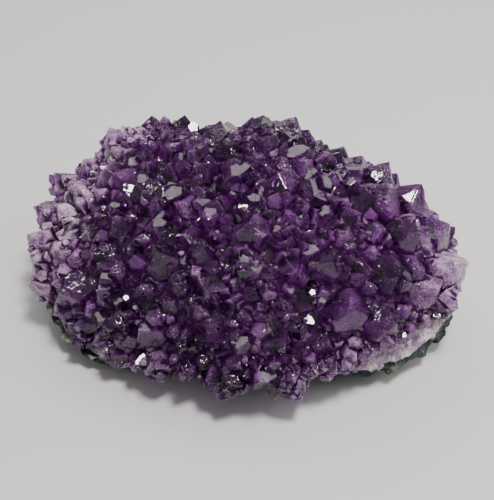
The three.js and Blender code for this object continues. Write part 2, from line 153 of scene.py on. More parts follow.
# The same with the window's grey light.
GLEAMING = (
    (-1.7, 3.3, 3.2), (-17.3, -1.8, 3), (-25.2, 6.3, 2.2), (1.9, -6.6, 1.8), (-8.3, -8.9, 2.4),
    (-5.6, -10.9, 1.8), (-20.4, -8.7, 2.2), (-32, 1.1, 1.6), (-16.2, 17.4, 1.6),
    (-8.8, 11.2, 1.5), (22.8, 2.8, 2), (25.2, 0.4, 1.8), (18.4, -9.8, 1.9), (32.5, -12.5, 2.1),
    (6.8, 19.8, 1.8), (10.2, 15.7, 1.6), (-33.9, -16.6, 2), (-0.4, -20.9, 2),
    (14.7, -18.2, 2.2), (16.5, -33.8, 1.6), (-35, -20.2, 2.2), (-1.2, -34, 2.4),
    (-2.9, -4.7, 1.3),
)


class Node(Enum):
    """The CAD nodes that the pieces stand for."""

    CRYSTALS = "amethyst_crystals"
    QUARTZ = "white_quartz"
    RIND = "green_rind"


class Slot(Enum):
    """The record's material slots."""

    AMETHYST = "amethyst"
    QUARTZ = "white_quartz"
    ROCK = "green_rock"


class Draws:
    """Numbers drawn by a plain multiplicative generator, the same on every run."""

    FACTOR = 48271
    LIMIT = 2147483647

    def __init__(self, seed: int) -> None:
        """Starts the generator at a seed."""
        self.state = seed

    def __call__(self, low: float = 0.0, high: float = 1.0) -> float:
        """Returns the next number between two others."""
        self.state = (self.state * self.FACTOR) % self.LIMIT
        return low + ((high - low) * self.state) / self.LIMIT

    def lean(self) -> np.ndarray:
        """Returns three numbers between -1 and 1, for a lean to any side."""
        return np.array([self(-1, 1) for _ in range(3)])


def ring_at(ring: Ring, angle: float) -> float:
    """Reads a ring on a smooth closed curve through its values.

    Args:
        ring: the values, evenly spread round the circle.
        angle: in radians, anticlockwise from +X.

    Returns:
        The value at the angle.
    """
    place = (angle % TURN) / TURN * len(ring)
    cell = math.floor(place)
    f = place - cell
    a, b, c, d = (ring[(cell + k) % len(ring)] for k in (-1, 0, 1, 2))
    cubic = 3 * b - a - 3 * c + d
    return 0.5 * (2 * b + (c - a) * f + (2 * a - 5 * b + 4 * c - d) * f * f + cubic * f**3)


def unit(v: np.ndarray) -> np.ndarray:
    """Returns a vector at length one."""
    return v / np.linalg.norm(v)


def held(value: float, low: float = 0.0, high: float = 1.0) -> float:
    """Returns a value held between two limits."""
    return min(max(value, low), high)


def level_way(angle: float) -> np.ndarray:
    """Returns the level way outward from the middle at an angle."""
    return np.array((math.cos(angle), math.sin(angle), 0.0))


@dataclass(frozen=True)
class Bed:
    """The domed surface that the crystals stand on, in millimetres, as the CAD part has it.

    A ring holds one value for every 15 degrees, anticlockwise from +X. A swell is a broad rise or
    hollow: x, y, spread and height.
    """

    radius: Ring = (
        53, 49.5, 44, 40, 38, 37, 37, 38.5, 43, 48.5, 51.5, 54.5, 54.5, 49.5, 44, 40, 37.5, 37.5, 38.5,
        39.5, 39, 41.5, 47, 52,
    )
    rim: Ring = (
        14.5, 15, 15.5, 16, 17.5, 18.5, 19, 20, 25, 27, 22.5, 16, 12.5, 9, 7, 7.5, 9, 10, 10, 10, 11,
        12.5, 13.5, 14.5,
    )
    quartz_depth: Ring = (
        4.5, 4, 4, 4, 4, 4, 4, 4, 4, 4, 3.5, 3, 2.5, 2.5, 2.5, 3, 3.5, 3.5, 3.5, 3.5, 4, 5, 5, 5,
    )
    crown: float = 37.5
    crown_slope: float = 0.1
    dome_power: float = 2.3
    dome_fullness: float = 0.72
    swells: Spots = (
        (7, 25, 8, 7), (-7, 29, 5, -3), (-18, 27, 8, 1.5), (-38, 2, 10, -4), (30, -14, 14, 2.5),
        (-30, -22, 12, -1.5), (46, 2, 12, 2),
    )
    swell_fade: int = 4
    step: float = 1e-3

    def point(self, angle: float, share: float) -> np.ndarray:
        """Finds a point of the bed.

        Args:
            angle: round the middle, in radians.
            share: of the way from the middle to the rim.

        Returns:
            The point, in millimetres.
        """
        radius = ring_at(self.radius, angle) * share
        x = radius * math.cos(angle)
        y = radius * math.sin(angle)
        rim = ring_at(self.rim, angle)
        dome = (1 - share**self.dome_power) ** self.dome_fullness
        z = rim + (self.crown + self.crown_slope * y - rim) * dome
        for sx, sy, spread, height in self.swells:
            swell = math.exp(-((x - sx) ** 2 + (y - sy) ** 2) / (2 * spread**2))
            z += height * swell * (1 - share**self.swell_fade)
        return np.array((x, y, z))

    def normal(self, angle: float, share: float) -> np.ndarray:
        """Finds the way that the bed faces at a point.

        Args:
            angle: round the middle, in radians.
            share: of the way from the middle to the rim.

        Returns:
            The outward normal.
        """
        s = held(share, self.step, 1 - 2 * self.step)
        around = self.point(angle + self.step, s) - self.point(angle - self.step, s)
        outward = self.point(angle, s + self.step) - self.point(angle, s - self.step)
        return unit(np.cross(outward, around))

    def place(self, x: float, y: float) -> tuple[float, float]:
        """Returns the angle and the share of the way to the rim of a place seen from above."""
        angle = math.atan2(y, x)
        return angle, min(math.hypot(x, y) / ring_at(self.radius, angle), 1.0)


BED = Bed()


@dataclass
class Habit:
    """How a crystal's planes lie about its own axis, with its root at the origin.

    Each plane faces along its normal, at its distance from the root in millimetres.
    """

    normals: np.ndarray
    distances: np.ndarray

    @classmethod
    def drawn(cls, draws: Draws, width: float, reach: float, root: float = ROOT_DEPTH) -> "Habit":
        """Draws a hexagonal prism under two sets of three tip faces.

        Args:
            draws: where the chance comes from.
            width: half the crystal's width, in millimetres.
            reach: how far the tip stands over the root.
            root: how far the crystal goes down below its root.

        Returns:
            The crystal's planes.
        """
        planes = [((0.0, 0.0, -1.0), root)]
        plain = draws() < THREE_FACED
        turns = [k * math.pi / 3 for k in range(6)]
        for turn in turns:
            side = width * draws(*PRISM_FACE)
            planes.append(((math.cos(turn), math.sin(turn), 0.0), side))
        flat = math.cos(FACE_SLOPE)
        rise = math.sin(FACE_SLOPE)
        for k, turn in enumerate(turns):
            raised = draws(*(SMALL_FACE if k % 2 else LARGE_FACE))
            if plain and k % 2:
                continue
            normal = (flat * math.cos(turn), flat * math.sin(turn), rise)
            planes.append((normal, (reach + raised * width) * rise))
        return cls(np.array([p[0] for p in planes]), np.array([p[1] for p in planes]))

    def chipped(self, draws: Draws, count: int, depth: float) -> "Habit":
        """Cuts small flats off the tip and the upper edges.

        Args:
            draws: where the chance comes from.
            count: how many flats.
            depth: how deep the deepest cut goes, in millimetres.

        Returns:
            The crystal's planes with the flats added.
        """
        corners = np.vstack(self.faces())
        normals = list(self.normals)
        distances = list(self.distances)
        for _ in range(count):
            turn = draws(0, TURN)
            rise = draws(*CHIP_RISE)
            normal = unit(np.array((math.cos(turn), math.sin(turn), rise)))
            normals.append(normal)
            distances.append((corners @ normal).max() - depth * draws(*CHIP_DEPTH))
        return Habit(np.array(normals), np.array(distances))

    def face(self, chosen: int) -> np.ndarray:
        """Returns the corners on one of the planes, each as often as faces meet there."""
        corners = np.vstack(self.faces())
        return corners[np.abs(corners @ self.normals[chosen] - self.distances[chosen]) < ON_FACE]

    def faces(self) -> list[np.ndarray]:
        """Finds the faces that the planes enclose.

        Returns:
            The corners of each face, in order round it.
        """
        picks = np.array(list(combinations(range(len(self.normals)), 3)))
        grids = self.normals[picks]
        solvable = np.abs(np.linalg.det(grids)) > FLAT
        picks = picks[solvable]
        corners = np.linalg.solve(grids[solvable], self.distances[picks][..., None])[..., 0]
        inside = (corners @ self.normals.T <= self.distances + FLAT).all(axis=1)
        corners = np.unique(corners[inside].round(5), axis=0)
        faces = []
        for normal, distance in zip(self.normals, self.distances):
            on = corners[np.abs(corners @ normal - distance) < SAME]
            if len(on) < 3:
                continue
            middle = on.mean(axis=0)
            across = unit(on[0] - middle)
            along = np.cross(normal, across)
            order = np.argsort(np.arctan2((on - middle) @ along, (on - middle) @ across))
            faces.append(on[order])
        return faces


def carry(mesh: bpy.types.Mesh, label: str, values: Sequence[float]) -> None:
    """Gives each corner of a mesh a number that its material reads."""
    mesh.attributes.new(label, "FLOAT", "POINT").data.foreach_set("value", values)


def even_out(shape: bmesh.types.BMesh, verts: list[bmesh.types.BMVert]) -> None:
    """Moves corners half of the way to the middle of their neighbours.

    Args:
        shape: which is changed.
        verts: its corners that may move.
    """
    bmesh.ops.smooth_vert(
        shape, verts=verts, factor=0.5, use_axis_x=True, use_axis_y=True, use_axis_z=True
    )


@dataclass
class Crystal:
    """One crystal: where it stands, how it is turned and what it looks like inside.

    The width is half of its whole width, the reach is how far its tip stands over its root, and
    the edge is how wide its worn edges are, all in millimetres. Tone, milk and polish go from 0
    to 1: from dark to bright, from clear to cloudy, and from etched to mirror-like.
    """

    root: np.ndarray
    turn: np.ndarray
    width: float
    reach: float
    habit: Habit
    edge: float = 0.12
    tone: float = 0.5
    milk: float = 0.0
    worn: bool = False
    polished: float = 0.0

    def corners(self) -> np.ndarray:
        """Returns all the crystal's corners in the cluster's frame."""
        return np.vstack(self.habit.faces()) @ self.turn.T + self.root

    def body(self, name: str) -> bpy.types.Object:
        """Makes the crystal as a closed mesh with worn edges.

        Args:
            name: of the object.

        Returns:
            The object, which stands in no collection yet.
        """
        shape = bmesh.new()
        known: dict[tuple[float, ...], bmesh.types.BMVert] = {}
        for corners in self.habit.faces():
            ring = []
            for corner in corners:
                key = tuple(corner.round(4))
                if key not in known:
                    known[key] = shape.verts.new(corner)
                if known[key] not in ring:
                    ring.append(known[key])
            if len(ring) > 2:
                shape.faces.new(ring)
        if self.worn:
            self.wear_down(shape)
        elif self.edge:
            sharp = [e for e in shape.edges if min(v.co.z for v in e.verts) > -ROOT_DEPTH + 0.1]
            bmesh.ops.bevel(
                shape, geom=sharp, offset=self.edge, segments=1, affect="EDGES", clamp_overlap=True
            )
            bmesh.ops.dissolve_degenerate(shape, dist=SAME, edges=shape.edges[:])
        rises = [v.co.z / self.reach for v in shape.verts]
        here = Matrix(self.turn.tolist()).to_4x4()
        here.translation = Vector(self.root)
        bmesh.ops.transform(shape, matrix=Matrix.Scale(MM, 4) @ here, verts=shape.verts[:])
        mesh = bpy.data.meshes.new(name)
        shape.to_mesh(mesh)
        shape.free()
        carry(mesh, "rise", rises)
        for label in ("tone", "milk", "worn", "polished"):
            carry(mesh, label, [float(getattr(self, label))] * len(rises))
        return bpy.data.objects.new(name, mesh)

    @staticmethod
    def wear_down(shape: bmesh.types.BMesh) -> None:
        """Rounds a crystal's corners into a blunt dome.

        Args:
            shape: the crystal about its own root, which is changed.
        """
        bmesh.ops.scale(shape, vec=(WORN_SPARE,) * 3, verts=shape.verts[:])
        bmesh.ops.triangulate(shape, faces=shape.faces[:])
        for _ in range(WORN_ROUNDS):
            bmesh.ops.subdivide_edges(shape, edges=shape.edges[:], cuts=1)
            even_out(shape, shape.verts[:])
        bmesh.ops.triangulate(shape, faces=shape.faces[:])


def turned(axis: np.ndarray, spin: float) -> np.ndarray:
    """Returns the rotation that stands +Z along an axis, after a spin about +Z."""
    lean = Vector((0, 0, 1)).rotation_difference(Vector(axis))
    return np.array((lean @ Quaternion((0, 0, 1), spin)).to_matrix())


def spotted(spots: Spots, x: float, y: float) -> float:
    """Adds up a set of round soft spots at a place seen from above.

    Args:
        spots: x, y, spread and strength of each.
        x: of the place.
        y: of the place.

    Returns:
        Their strength there, from 0 to 1.
    """
    clear = 1.0
    for sx, sy, spread, strength in spots:
        clear *= 1 - strength * math.exp(-((x - sx) ** 2 + (y - sy) ** 2) / (2 * spread**2))
    return 1 - clear


def adopt(thing: bpy.types.Object) -> bpy.types.Object:
    """Links an object to the scene and returns it."""
    bpy.context.scene.collection.objects.link(thing)
    return thing


def closed_shell(name: str, rings: np.ndarray) -> bpy.types.Object:
    """Makes a closed body from rings of points.

    Args:
        name: of the object.
        rings: rings x points x 3 in millimetres. The first and the last ring are one point each,
            given at every angle.

    Returns:
        The object, which stands in no collection yet.
    """
    around = rings.shape[1]
    inner = rings[1:-1].reshape(-1, 3)
    verts = np.vstack((rings[0, :1], inner, rings[-1, :1])) * MM
    last = len(verts) - 1
    faces = []
    for k in range(around):
        n = (k + 1) % around
        faces.append((0, 1 + k, 1 + n))
        for row in range(len(rings) - 3):
            a = 1 + row * around
            b = a + around
            faces.append((a + k, b + k, b + n, a + n))
        end = 1 + (len(rings) - 3) * around
        faces.append((last, end + n, end + k))
    mesh = bpy.data.meshes.new(name)
    mesh.from_pydata([tuple(v) for v in verts], [], faces)
    return bpy.data.objects.new(name, mesh)


def sound(body: bpy.types.Object) -> bool:
    """Looks for open edges in a mesh.

    Args:
        body: the object whose mesh it is.

    Returns:
        True where exactly two faces meet at each edge.
    """
    sides = np.empty(len(body.data.loops), dtype=np.int32)
    body.data.loops.foreach_get("edge_index", sides)
    return bool((np.bincount(sides, minlength=len(body.data.edges)) == 2).all())


def combined(
    name: str, base: bpy.types.Object, bodies: list[bpy.types.Object], operation: str = "UNION"
) -> bpy.types.Object:
    """Joins closed bodies to a base as one solid, or cuts them out of it.

    Args:
        name: of the new object.
        base: the body that the others stand on.
        bodies: the others. They are used up, and so is the base.
        operation: UNION or DIFFERENCE.

    Returns:
        One closed mesh, linked to the scene.
    """
    crowd = bpy.data.collections.new(name)
    bpy.context.scene.collection.children.link(crowd)
    for body in filter(sound, bodies):
        crowd.objects.link(body)
    if not base.users_collection:
        adopt(base)
    combining = base.modifiers.new("combine", "BOOLEAN")
    combining.operation = operation
    combining.operand_type = "COLLECTION"
    combining.collection = crowd
    combining.solver = "MANIFOLD"
    depsgraph = bpy.context.evaluated_depsgraph_get()
    mesh = bpy.data.meshes.new_from_object(base.evaluated_get(depsgraph))
    mesh.name = name
    for body in (*bodies, base):
        bpy.data.meshes.remove(body.data)
    bpy.data.collections.remove(crowd)
    shape = bmesh.new()
    shape.from_mesh(mesh)
    drop_flaps(shape)
    if operation == "UNION":
        keep_largest(shape)
    shape.to_mesh(mesh)
    shape.free()
    return adopt(bpy.data.objects.new(name, mesh))


def drop_flaps(shape: bmesh.types.BMesh) -> None:
    """Deletes each pair of faces that lie back to back on the same corners.

    Args:
        shape: which is changed.
    """
    seen: dict[frozenset, bmesh.types.BMFace] = {}
    flaps = []
    for face in shape.faces:
        corners = frozenset(face.verts)
        if corners in seen:
            flaps += [face, seen.pop(corners)]
        else:
            seen[corners] = face
    bmesh.ops.delete(shape, geom=flaps, context="FACES")


def keep_largest(shape: bmesh.types.BMesh) -> None:
    """Deletes every part of a shape that isn't connected to its largest part.

    Args:
        shape: which is changed.
    """
    shape.verts.index_update()
    shape.verts.ensure_lookup_table()
    part = [-1] * len(shape.verts)
    sizes = []
    for start in range(len(part)):
        if part[start] >= 0:
            continue
        part[start] = len(sizes)
        reached = [shape.verts[start]]
        for vert in reached:
            for edge in vert.link_edges:
                other = edge.other_vert(vert)
                if part[other.index] < 0:
                    part[other.index] = len(sizes)
                    reached.append(other)
        sizes.append(len(reached))
    largest = sizes.index(max(sizes))
    stray = [v for v in shape.verts if part[v.index] != largest]
    bmesh.ops.delete(shape, geom=stray, context="VERTS")
    log.info("%d parts, kept one with %d corners", len(sizes), max(sizes))


Socket = bpy.types.NodeSocket
Feed = Socket | float | tuple[float, ...]


class Wiring:
    """The nodes and links of one material. All lengths given to it are in millimetres."""

    def __init__(self, name: str) -> None:
        """Starts a material with nothing but its output.

        Args:
            name: of the material.
        """
        self.material = bpy.data.materials.new(name)
        self.material.use_nodes = True
        self.tree = self.material.node_tree
        self.tree.nodes.clear()
        self.output = self.node("ShaderNodeOutputMaterial")

    def node(self, kind: str, settings: dict | None = None, **inputs: Feed) -> bpy.types.Node:
        """Adds a node.

        Args:
            kind: the node's type.
            settings: values of its own properties.
            **inputs: values or sockets for its inputs, named with _ for a space.

        Returns:
            The node.
        """
        made = self.tree.nodes.new(kind)
        for label, value in (settings or {}).items():
            setattr(made, label, value)
        for label, value in inputs.items():
            self.feed(made.inputs[label.replace("_", " ")], value)
        return made

    def feed(self, socket: Socket, value: Feed) -> None:
        """Links a socket to another, or sets its own value.

        Args:
            socket: the input.
            value: another node's output, a number, or a colour without its alpha.
        """
        if isinstance(value, Socket):
            self.tree.links.new(value, socket)
        elif isinstance(value, tuple) and len(value) == 3 and socket.type == "RGBA":
            socket.default_value = (*value, 1)
        else:
            socket.default_value = value

    def place(self) -> Socket:
        """Returns the place on the object, in metres."""
        return self.node("ShaderNodeTexCoord").outputs["Object"]

    def attribute(self, name: str) -> Socket:
        """Returns a number that the mesh carries."""
        return self.node("ShaderNodeAttribute", {"attribute_name": name}).outputs["Fac"]

    def noise(
        self, size: float, detail: float = 3, roughness: float = 0.5, warp: float = 0.0
    ) -> Socket:
        """Adds a soft noise in space.

        Args:
            size: how wide its waves are.
            detail: how many finer waves lie in it.
            roughness: how strong the finer waves are.
            warp: how far it is twisted.

        Returns:
            The noise, from 0 to 1.
        """
        made = self.node(
            "ShaderNodeTexNoise", Vector=self.place(), Scale=1 / (size * MM), Detail=detail,
            Roughness=roughness, Distortion=warp,
        )
        return made.outputs["Fac"]

    def cells(self, size: float) -> Socket:
        """Returns a pattern of cells that are so many millimetres wide."""
        made = self.node("ShaderNodeTexVoronoi", Vector=self.place(), Scale=1 / (size * MM))
        return made.outputs["Distance"]

    def sum_of(self, operation: str, a: Feed, b: Feed) -> Socket:
        """Works out one sum.

        Args:
            operation: ADD, MULTIPLY or SUBTRACT.
            a: the first value.
            b: the second value.

        Returns:
            The result, held between 0 and 1.
        """
        made = self.node("ShaderNodeMath", {"operation": operation, "use_clamp": True})
        self.feed(made.inputs[0], a)
        self.feed(made.inputs[1], b)
        return made.outputs[0]

    def plus(self, a: Feed, b: Feed) -> Socket:
        """Returns two values added up, at most 1."""
        return self.sum_of("ADD", a, b)

    def times(self, a: Feed, b: Feed) -> Socket:
        """Returns one value times another."""
        return self.sum_of("MULTIPLY", a, b)

    def less(self, a: Feed, b: Feed) -> Socket:
        """Returns one value less another, at least 0."""
        return self.sum_of("SUBTRACT", a, b)

    def span(
        self, value: Feed, low: float, high: float, to_low: float = 0.0, to_high: float = 1.0
    ) -> Socket:
        """Leads a value smoothly from one number to another.

        Args:
            value: the value.
            low: where it starts to change.
            high: where it has changed.
            to_low: the result up to there.
            to_high: the result from there on.

        Returns:
            The result.
        """
        made = self.node(
            "ShaderNodeMapRange", {"interpolation_type": "SMOOTHSTEP"}, Value=value,
            From_Min=low, From_Max=high, To_Min=to_low, To_Max=to_high,
        )
        return made.outputs["Result"]

    def mix(self, share: Feed, a: Feed, b: Feed) -> Socket:
        """Mixes two colours.

        Args:
            share: of the second colour.
            a: the first colour.
            b: the second colour.

        Returns:
            The colour between them.
        """
        made = self.node("ShaderNodeMix", {"data_type": "RGBA"})
        self.feed(made.inputs[0], share)
        self.feed(made.inputs[6], a)
        self.feed(made.inputs[7], b)
        return made.outputs[2]

    def bump(
        self, height: Feed, depth: float, strength: float = 1.0, normal: Socket | None = None
    ) -> Socket:
        """Lays a fine relief over the surface.

        Args:
            height: of the relief, from 0 to 1.
            depth: of the relief.
            strength: how much of it shows.
            normal: of the relief below it, where there is one.

        Returns:
            The surface's normal.
        """
        made = self.node("ShaderNodeBump", Height=height, Distance=depth * MM, Strength=strength)
        if normal is not None:
            self.feed(made.inputs["Normal"], normal)
        return made.outputs["Normal"]

    def surface(self, **inputs: Feed) -> bpy.types.Material:
        """Adds the shader.

        Args:
            **inputs: values or sockets for the shader's inputs, named with _ for a space.

        Returns:
            The finished material.
        """
        shader = self.node("ShaderNodeBsdfPrincipled", **inputs)
        self.feed(self.output.inputs["Surface"], shader.outputs["BSDF"])
        return self.material


@dataclass(frozen=True)
class AmethystFinish:
    """Clear purple quartz with cloudy veils, paler where the mesh says so.

    Low in the gaps it is black, which is painted shade, and from there its colour goes from deep
    to bright with the tone that the mesh carries, or to blue in patches. Veils and specks, which
    are painted glints, have the cloud's colour, or the pale one where it is milky. The light that
    goes through it takes on the colour called through.
    Sizes are how wide the waves of each pattern are, in millimetres. A span says between which
    values a pattern sets in and, where it isn't from 0 to 1, from what to what it then goes.
    """

    # The black that the surface turns to low in the gaps is painted shade.
    painted_gap_shade: Colour = (0.04, 0.015, 0.05)
    deep: Colour = (0.127, 0.03, 0.172)
    bright: Colour = (0.6, 0.2, 0.725)
    cloud: Colour = (0.4, 0.22, 0.44)
    blue: Colour = (0.34, 0.13, 0.6)
    pale: Colour = (0.95, 0.72, 0.92)
    iron: Colour = (0.2, 0.07, 0.02)
    through: Colour = (0.74, 0.2, 0.793)
    density: float = 140.0
    index: float = 1.544
    polish: Range = (0.03, 0.2)
    gap_roughness: float = 0.05
    veiling: float = 0.95
    threading: float = 0.4
    least_clear: float = 0.53
    tone_haze: float = 0.18
    outline: float = 0.3
    etching: float = 0.3
    bleeding: float = 1.0
    bleed_reach: float = 0.005
    bleed_tint: Colour = (1.0, 0.65, 1.0)
    veil_size: float = 3.2
    dust_size: float = 0.5
    thread_size: float = 1.5
    cloud_size: float = 2.6
    blue_size: float = 8
    # The amethyst's specks are pale dots that stand for tiny glints: painted glints.
    speck_size: float = 1.5
    speck_group_size: float = 4
    stain_size: float = 7
    stain_grain_size: float = 0.7
    wave_size: float = 3
    grit_size: float = 0.5
    pit_size: float = 0.8
    etched_size: float = 5
    veil_span: Span = (0.42, 0.62)
    dust_span: Span = (0.5, 0.62)
    thread_span: Span = (0.53, 0.56)
    top_span: Span = (0.2, 1, 0.35, 1)
    cloud_span: Span = (0.38, 0.62, 0.5, 1.1)
    dusted_span: Span = (0, 1, 0.85, 1.1)
    blue_span: Span = (0.45, 0.6, 0, 0.6)
    etched_span: Span = (0.54, 0.62)
    speck_span: Span = (0.16, 0.1)
    speck_group_span: Span = (0.45, 0.6, 0, 0.8)
    clear_span: Span = (0, 0.5, 1, 0)
    # Over the rise: where the painted shade low in the gaps sets in, and where it is full.
    gap_shade_span: Span = (0.3, -0.1)
    stain_span: Span = (0.69, 0.73)
    stain_grain_span: Span = (0.56, 0.64, 0, 0.8)
    haze_from: float = 0.1
    rough_from: float = 0.1

    def cloudiness(self, w: Wiring, specks_and_glints: Socket) -> Socket:
        """Lays veils, threads, milky clouds and specks over each other.

        Args:
            w: the material's nodes.
            specks_and_glints: the pattern of the specks.

        Returns:
            How cloudy the quartz is, from 0 to 1.
        """
        milk = w.attribute("milk")
        patches = w.span(w.noise(self.veil_size, 4, 0.6, 0.4), *self.veil_span)
        dust = w.span(w.noise(self.dust_size, 5, 0.8), *self.dust_span)
        threads = w.span(w.noise(self.thread_size, 3, 0.6, 1.5), *self.thread_span)
        top = w.span(w.attribute("rise"), *self.top_span)
        veil = w.times(patches, w.times(dust, self.veiling))
        veil = w.plus(veil, w.times(threads, w.times(dust, self.threading)))
        clouds = w.span(w.noise(self.cloud_size, 4, 0.6), *self.cloud_span)
        milky = w.times(milk, w.times(clouds, w.span(dust, *self.dusted_span)))
        cloudy = w.plus(w.times(veil, top), milky)
        edgewise = w.node("ShaderNodeLayerWeight", Blend=self.outline).outputs["Facing"]
        edgewise = w.times(w.times(edgewise, edgewise), 0.6)
        cloudy = w.plus(cloudy, w.times(edgewise, w.attribute("worn")))
        # The specks added last are painted glints.
        return w.plus(cloudy, specks_and_glints)

    def tint(self, w: Wiring, gap: Socket) -> Socket:
        """Picks the purple of the clear quartz.

        Args:
            w: the material's nodes.
            gap: how deep down in a gap the surface is, from 0 to 1, which sets the painted shade.

        Returns:
            The colour.
        """
        tone = w.attribute("tone")
        tint = w.mix(tone, self.deep, self.bright)
        bluish = w.span(w.noise(self.blue_size, 2), *self.blue_span)
        tint = w.mix(w.times(bluish, tone), tint, self.blue)
        # Painted shade: low in the gaps the colour turns black, except where the quartz is milky.
        return w.mix(w.times(gap, w.less(1.0, w.attribute("milk"))), tint, self.painted_gap_shade)

    def relief(self, w: Wiring) -> Socket:
        """Lays low waves, grit where it is milky and etched patches over each other.

        Args:
            w: the material's nodes.

        Returns:
            The surface's normal.
        """
        waves = w.bump(w.noise(self.wave_size, 1), 0.008, 0.5)
        grit = w.times(w.noise(self.grit_size, 4, 0.6), w.attribute("milk"))
        normal = w.bump(grit, 0.06, 0.8, waves)
        etched = w.plus(w.span(w.noise(self.etched_size, 2), *self.etched_span), w.attribute("worn"))
        etched = w.times(etched, w.less(1.0, w.attribute("polished")))
        return w.bump(w.times(w.cells(self.pit_size), etched), self.etching, 1.0, normal)

    def material(self) -> bpy.types.Material:
        """Puts the cloudiness, the tint, brown stains and the relief together.

        Returns:
            The material.
        """
        w = Wiring("amethyst")
        milk = w.attribute("milk")
        # Pale specks on the clear quartz that stand for tiny glints: painted glints.
        specks_and_glints = w.span(w.cells(self.speck_size), *self.speck_span)
        groups = w.span(w.noise(self.speck_group_size, 2), *self.speck_group_span)
        specks_and_glints = w.times(w.times(specks_and_glints, groups), w.span(milk, *self.clear_span))
        cloudy = self.cloudiness(w, specks_and_glints)
        # How low in a gap the surface is: it sets the painted shade in the tint and a little more
        # roughness.
        gap = w.span(w.attribute("rise"), *self.gap_shade_span)
        hazy = w.mix(w.plus(milk, specks_and_glints), self.cloud, self.pale)
        colour = w.mix(cloudy, self.tint(w, gap), hazy)
        stain = w.span(w.noise(self.stain_size, 2), *self.stain_span)
        grains = w.span(w.noise(self.stain_grain_size, 3), *self.stain_grain_span)
        stain = w.times(stain, grains)
        colour = w.mix(stain, colour, self.iron)
        clear = w.span(cloudy, 0.0, 1.0, 1.0, self.least_clear)
        clear = w.less(clear, w.span(w.attribute("tone"), self.haze_from, 1, 0, self.tone_haze))
        clear = w.times(clear, w.less(1.0, stain))
        rough = w.span(cloudy, self.rough_from, 1, *self.polish)
        rough = w.plus(rough, w.times(gap, self.gap_roughness))
        material = w.surface(
            Base_Color=colour, Transmission_Weight=clear, Roughness=rough, IOR=self.index,
            Subsurface_Weight=self.bleeding, Subsurface_Radius=self.bleed_tint,
            Subsurface_Scale=self.bleed_reach, Normal=self.relief(w),
        )
        soak = w.node("ShaderNodeVolumeAbsorption", Color=self.through, Density=self.density)
        w.feed(w.output.inputs["Volume"], soak.outputs["Volume"])
        return material


@dataclass(frozen=True)
class QuartzFinish:
    """Milky granular quartz with lilac and grey grains.

    Sizes and spans are those of patterns, as in the amethyst.
    """

    white: Colour = (0.54, 0.45, 0.51)
    lilac: Colour = (0.27, 0.16, 0.31)
    grey: Colour = (0.2, 0.17, 0.18)
    index: float = 1.544
    polish: Range = (0.22, 0.6)
    bleeding: float = 0.25
    bleed_reach: float = 0.0012
    bleed_tint: Colour = (0.9, 0.7, 1.0)
    lilac_size: float = 4
    grey_size: float = 0.9
    grain_size: float = 0.7
    grit_size: float = 0.4
    polish_size: float = 1.1
    lilac_span: Span = (0.45, 0.65)
    grey_span: Span = (0.5, 0.75, 0, 0.8)
    polish_span: Span = (0.4, 0.6)

    def material(self) -> bpy.types.Material:
        """Mixes the grains' colours over a fine relief.

        Returns:
            The material.
        """
        w = Wiring("white quartz")
        lilac = w.span(w.noise(self.lilac_size, 3), *self.lilac_span)
        colour = w.mix(lilac, self.white, self.lilac)
        grey = w.span(w.noise(self.grey_size, 4, 0.7), *self.grey_span)
        colour = w.mix(grey, colour, self.grey)
        relief = w.plus(w.times(w.cells(self.grain_size), 0.3), w.noise(self.grit_size, 3))
        return w.surface(
            Base_Color=colour,
            Roughness=w.span(w.noise(self.polish_size, 2), *self.polish_span, *self.polish),
            IOR=self.index, Subsurface_Weight=self.bleeding, Subsurface_Radius=self.bleed_tint,
            Subsurface_Scale=self.bleed_reach, Normal=w.bump(relief, 0.12, 0.7),
        )


@dataclass(frozen=True)
class RockFinish:
    """Dark green rock with dull pale skin and pale specks.

    Sizes and spans are those of patterns, as in the amethyst.
    """

    dark: Colour = (0.004, 0.005, 0.005)
    green: Colour = (0.01, 0.034, 0.029)
    beige: Colour = (0.22, 0.27, 0.2)
    speck: Colour = (0.42, 0.42, 0.38)
    dullness: Range = (0.6, 0.95)
    green_size: float = 3.5
    skin_size: float = 6
    speck_size: float = 0.8
    speck_group_size: float = 3
    lump_size: float = 1.6
    pit_size: float = 1.3
    dull_size: float = 1.5
    green_span: Span = (0.42, 0.62)
    skin_span: Span = (0.5, 0.62)
    speck_span: Span = (0.56, 0.66)
    speck_group_span: Span = (0.45, 0.6)
    dull_span: Span = (0.35, 0.65)

    def material(self) -> bpy.types.Material:
        """Mixes the green, the skin and the specks over a broken relief.

        Returns:
            The material.
        """
        w = Wiring("green rock")
        green = w.span(w.noise(self.green_size, 4, 0.6), *self.green_span)
        colour = w.mix(green, self.dark, self.green)
        skin_and_highlight = w.span(w.noise(self.skin_size, 4, 0.6), *self.skin_span)
        # Pale skin where the mesh asks for it; left of a line it asks for far more, which is partly
        # real skin and partly painted highlight on the lit side.
        colour = w.mix(w.times(skin_and_highlight, w.attribute("skin_and_highlight")), colour, self.beige)
        # The rock's specks are its own pale grains.
        specks_and_glints = w.span(w.noise(self.speck_size, 4, 0.7), *self.speck_span)
        groups = w.span(w.noise(self.speck_group_size, 3), *self.speck_group_span)
        specks_and_glints = w.times(specks_and_glints, groups)
        colour = w.mix(specks_and_glints, colour, self.speck)
        relief = w.plus(w.noise(self.lump_size, 6, 0.65), w.times(w.cells(self.pit_size), 0.4))
        return w.surface(
            Base_Color=colour,
            Roughness=w.span(w.noise(self.dull_size, 3), *self.dull_span, *self.dullness),
            Normal=w.bump(relief, 0.6, 0.9),
        )


@dataclass(frozen=True)
class FloorFinish:
    """A plain pale surface."""

    pale: Colour = (0.62, 0.62, 0.63)

    def material(self) -> bpy.types.Material:
        """Builds the material."""
        return Wiring("plain floor").surface(Base_Color=self.pale, Roughness=0.75)


def dress(piece: bpy.types.Object, material: bpy.types.Material, node: Node) -> None:
    """Gives a finished piece its look and its place in the part.

    Args:
        piece: the piece.
        material: its look.
        node: the CAD node that it stands for.
    """
    piece.data.materials.clear()
    piece.data.materials.append(material)
    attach(piece, "root")
    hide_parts(node.value)


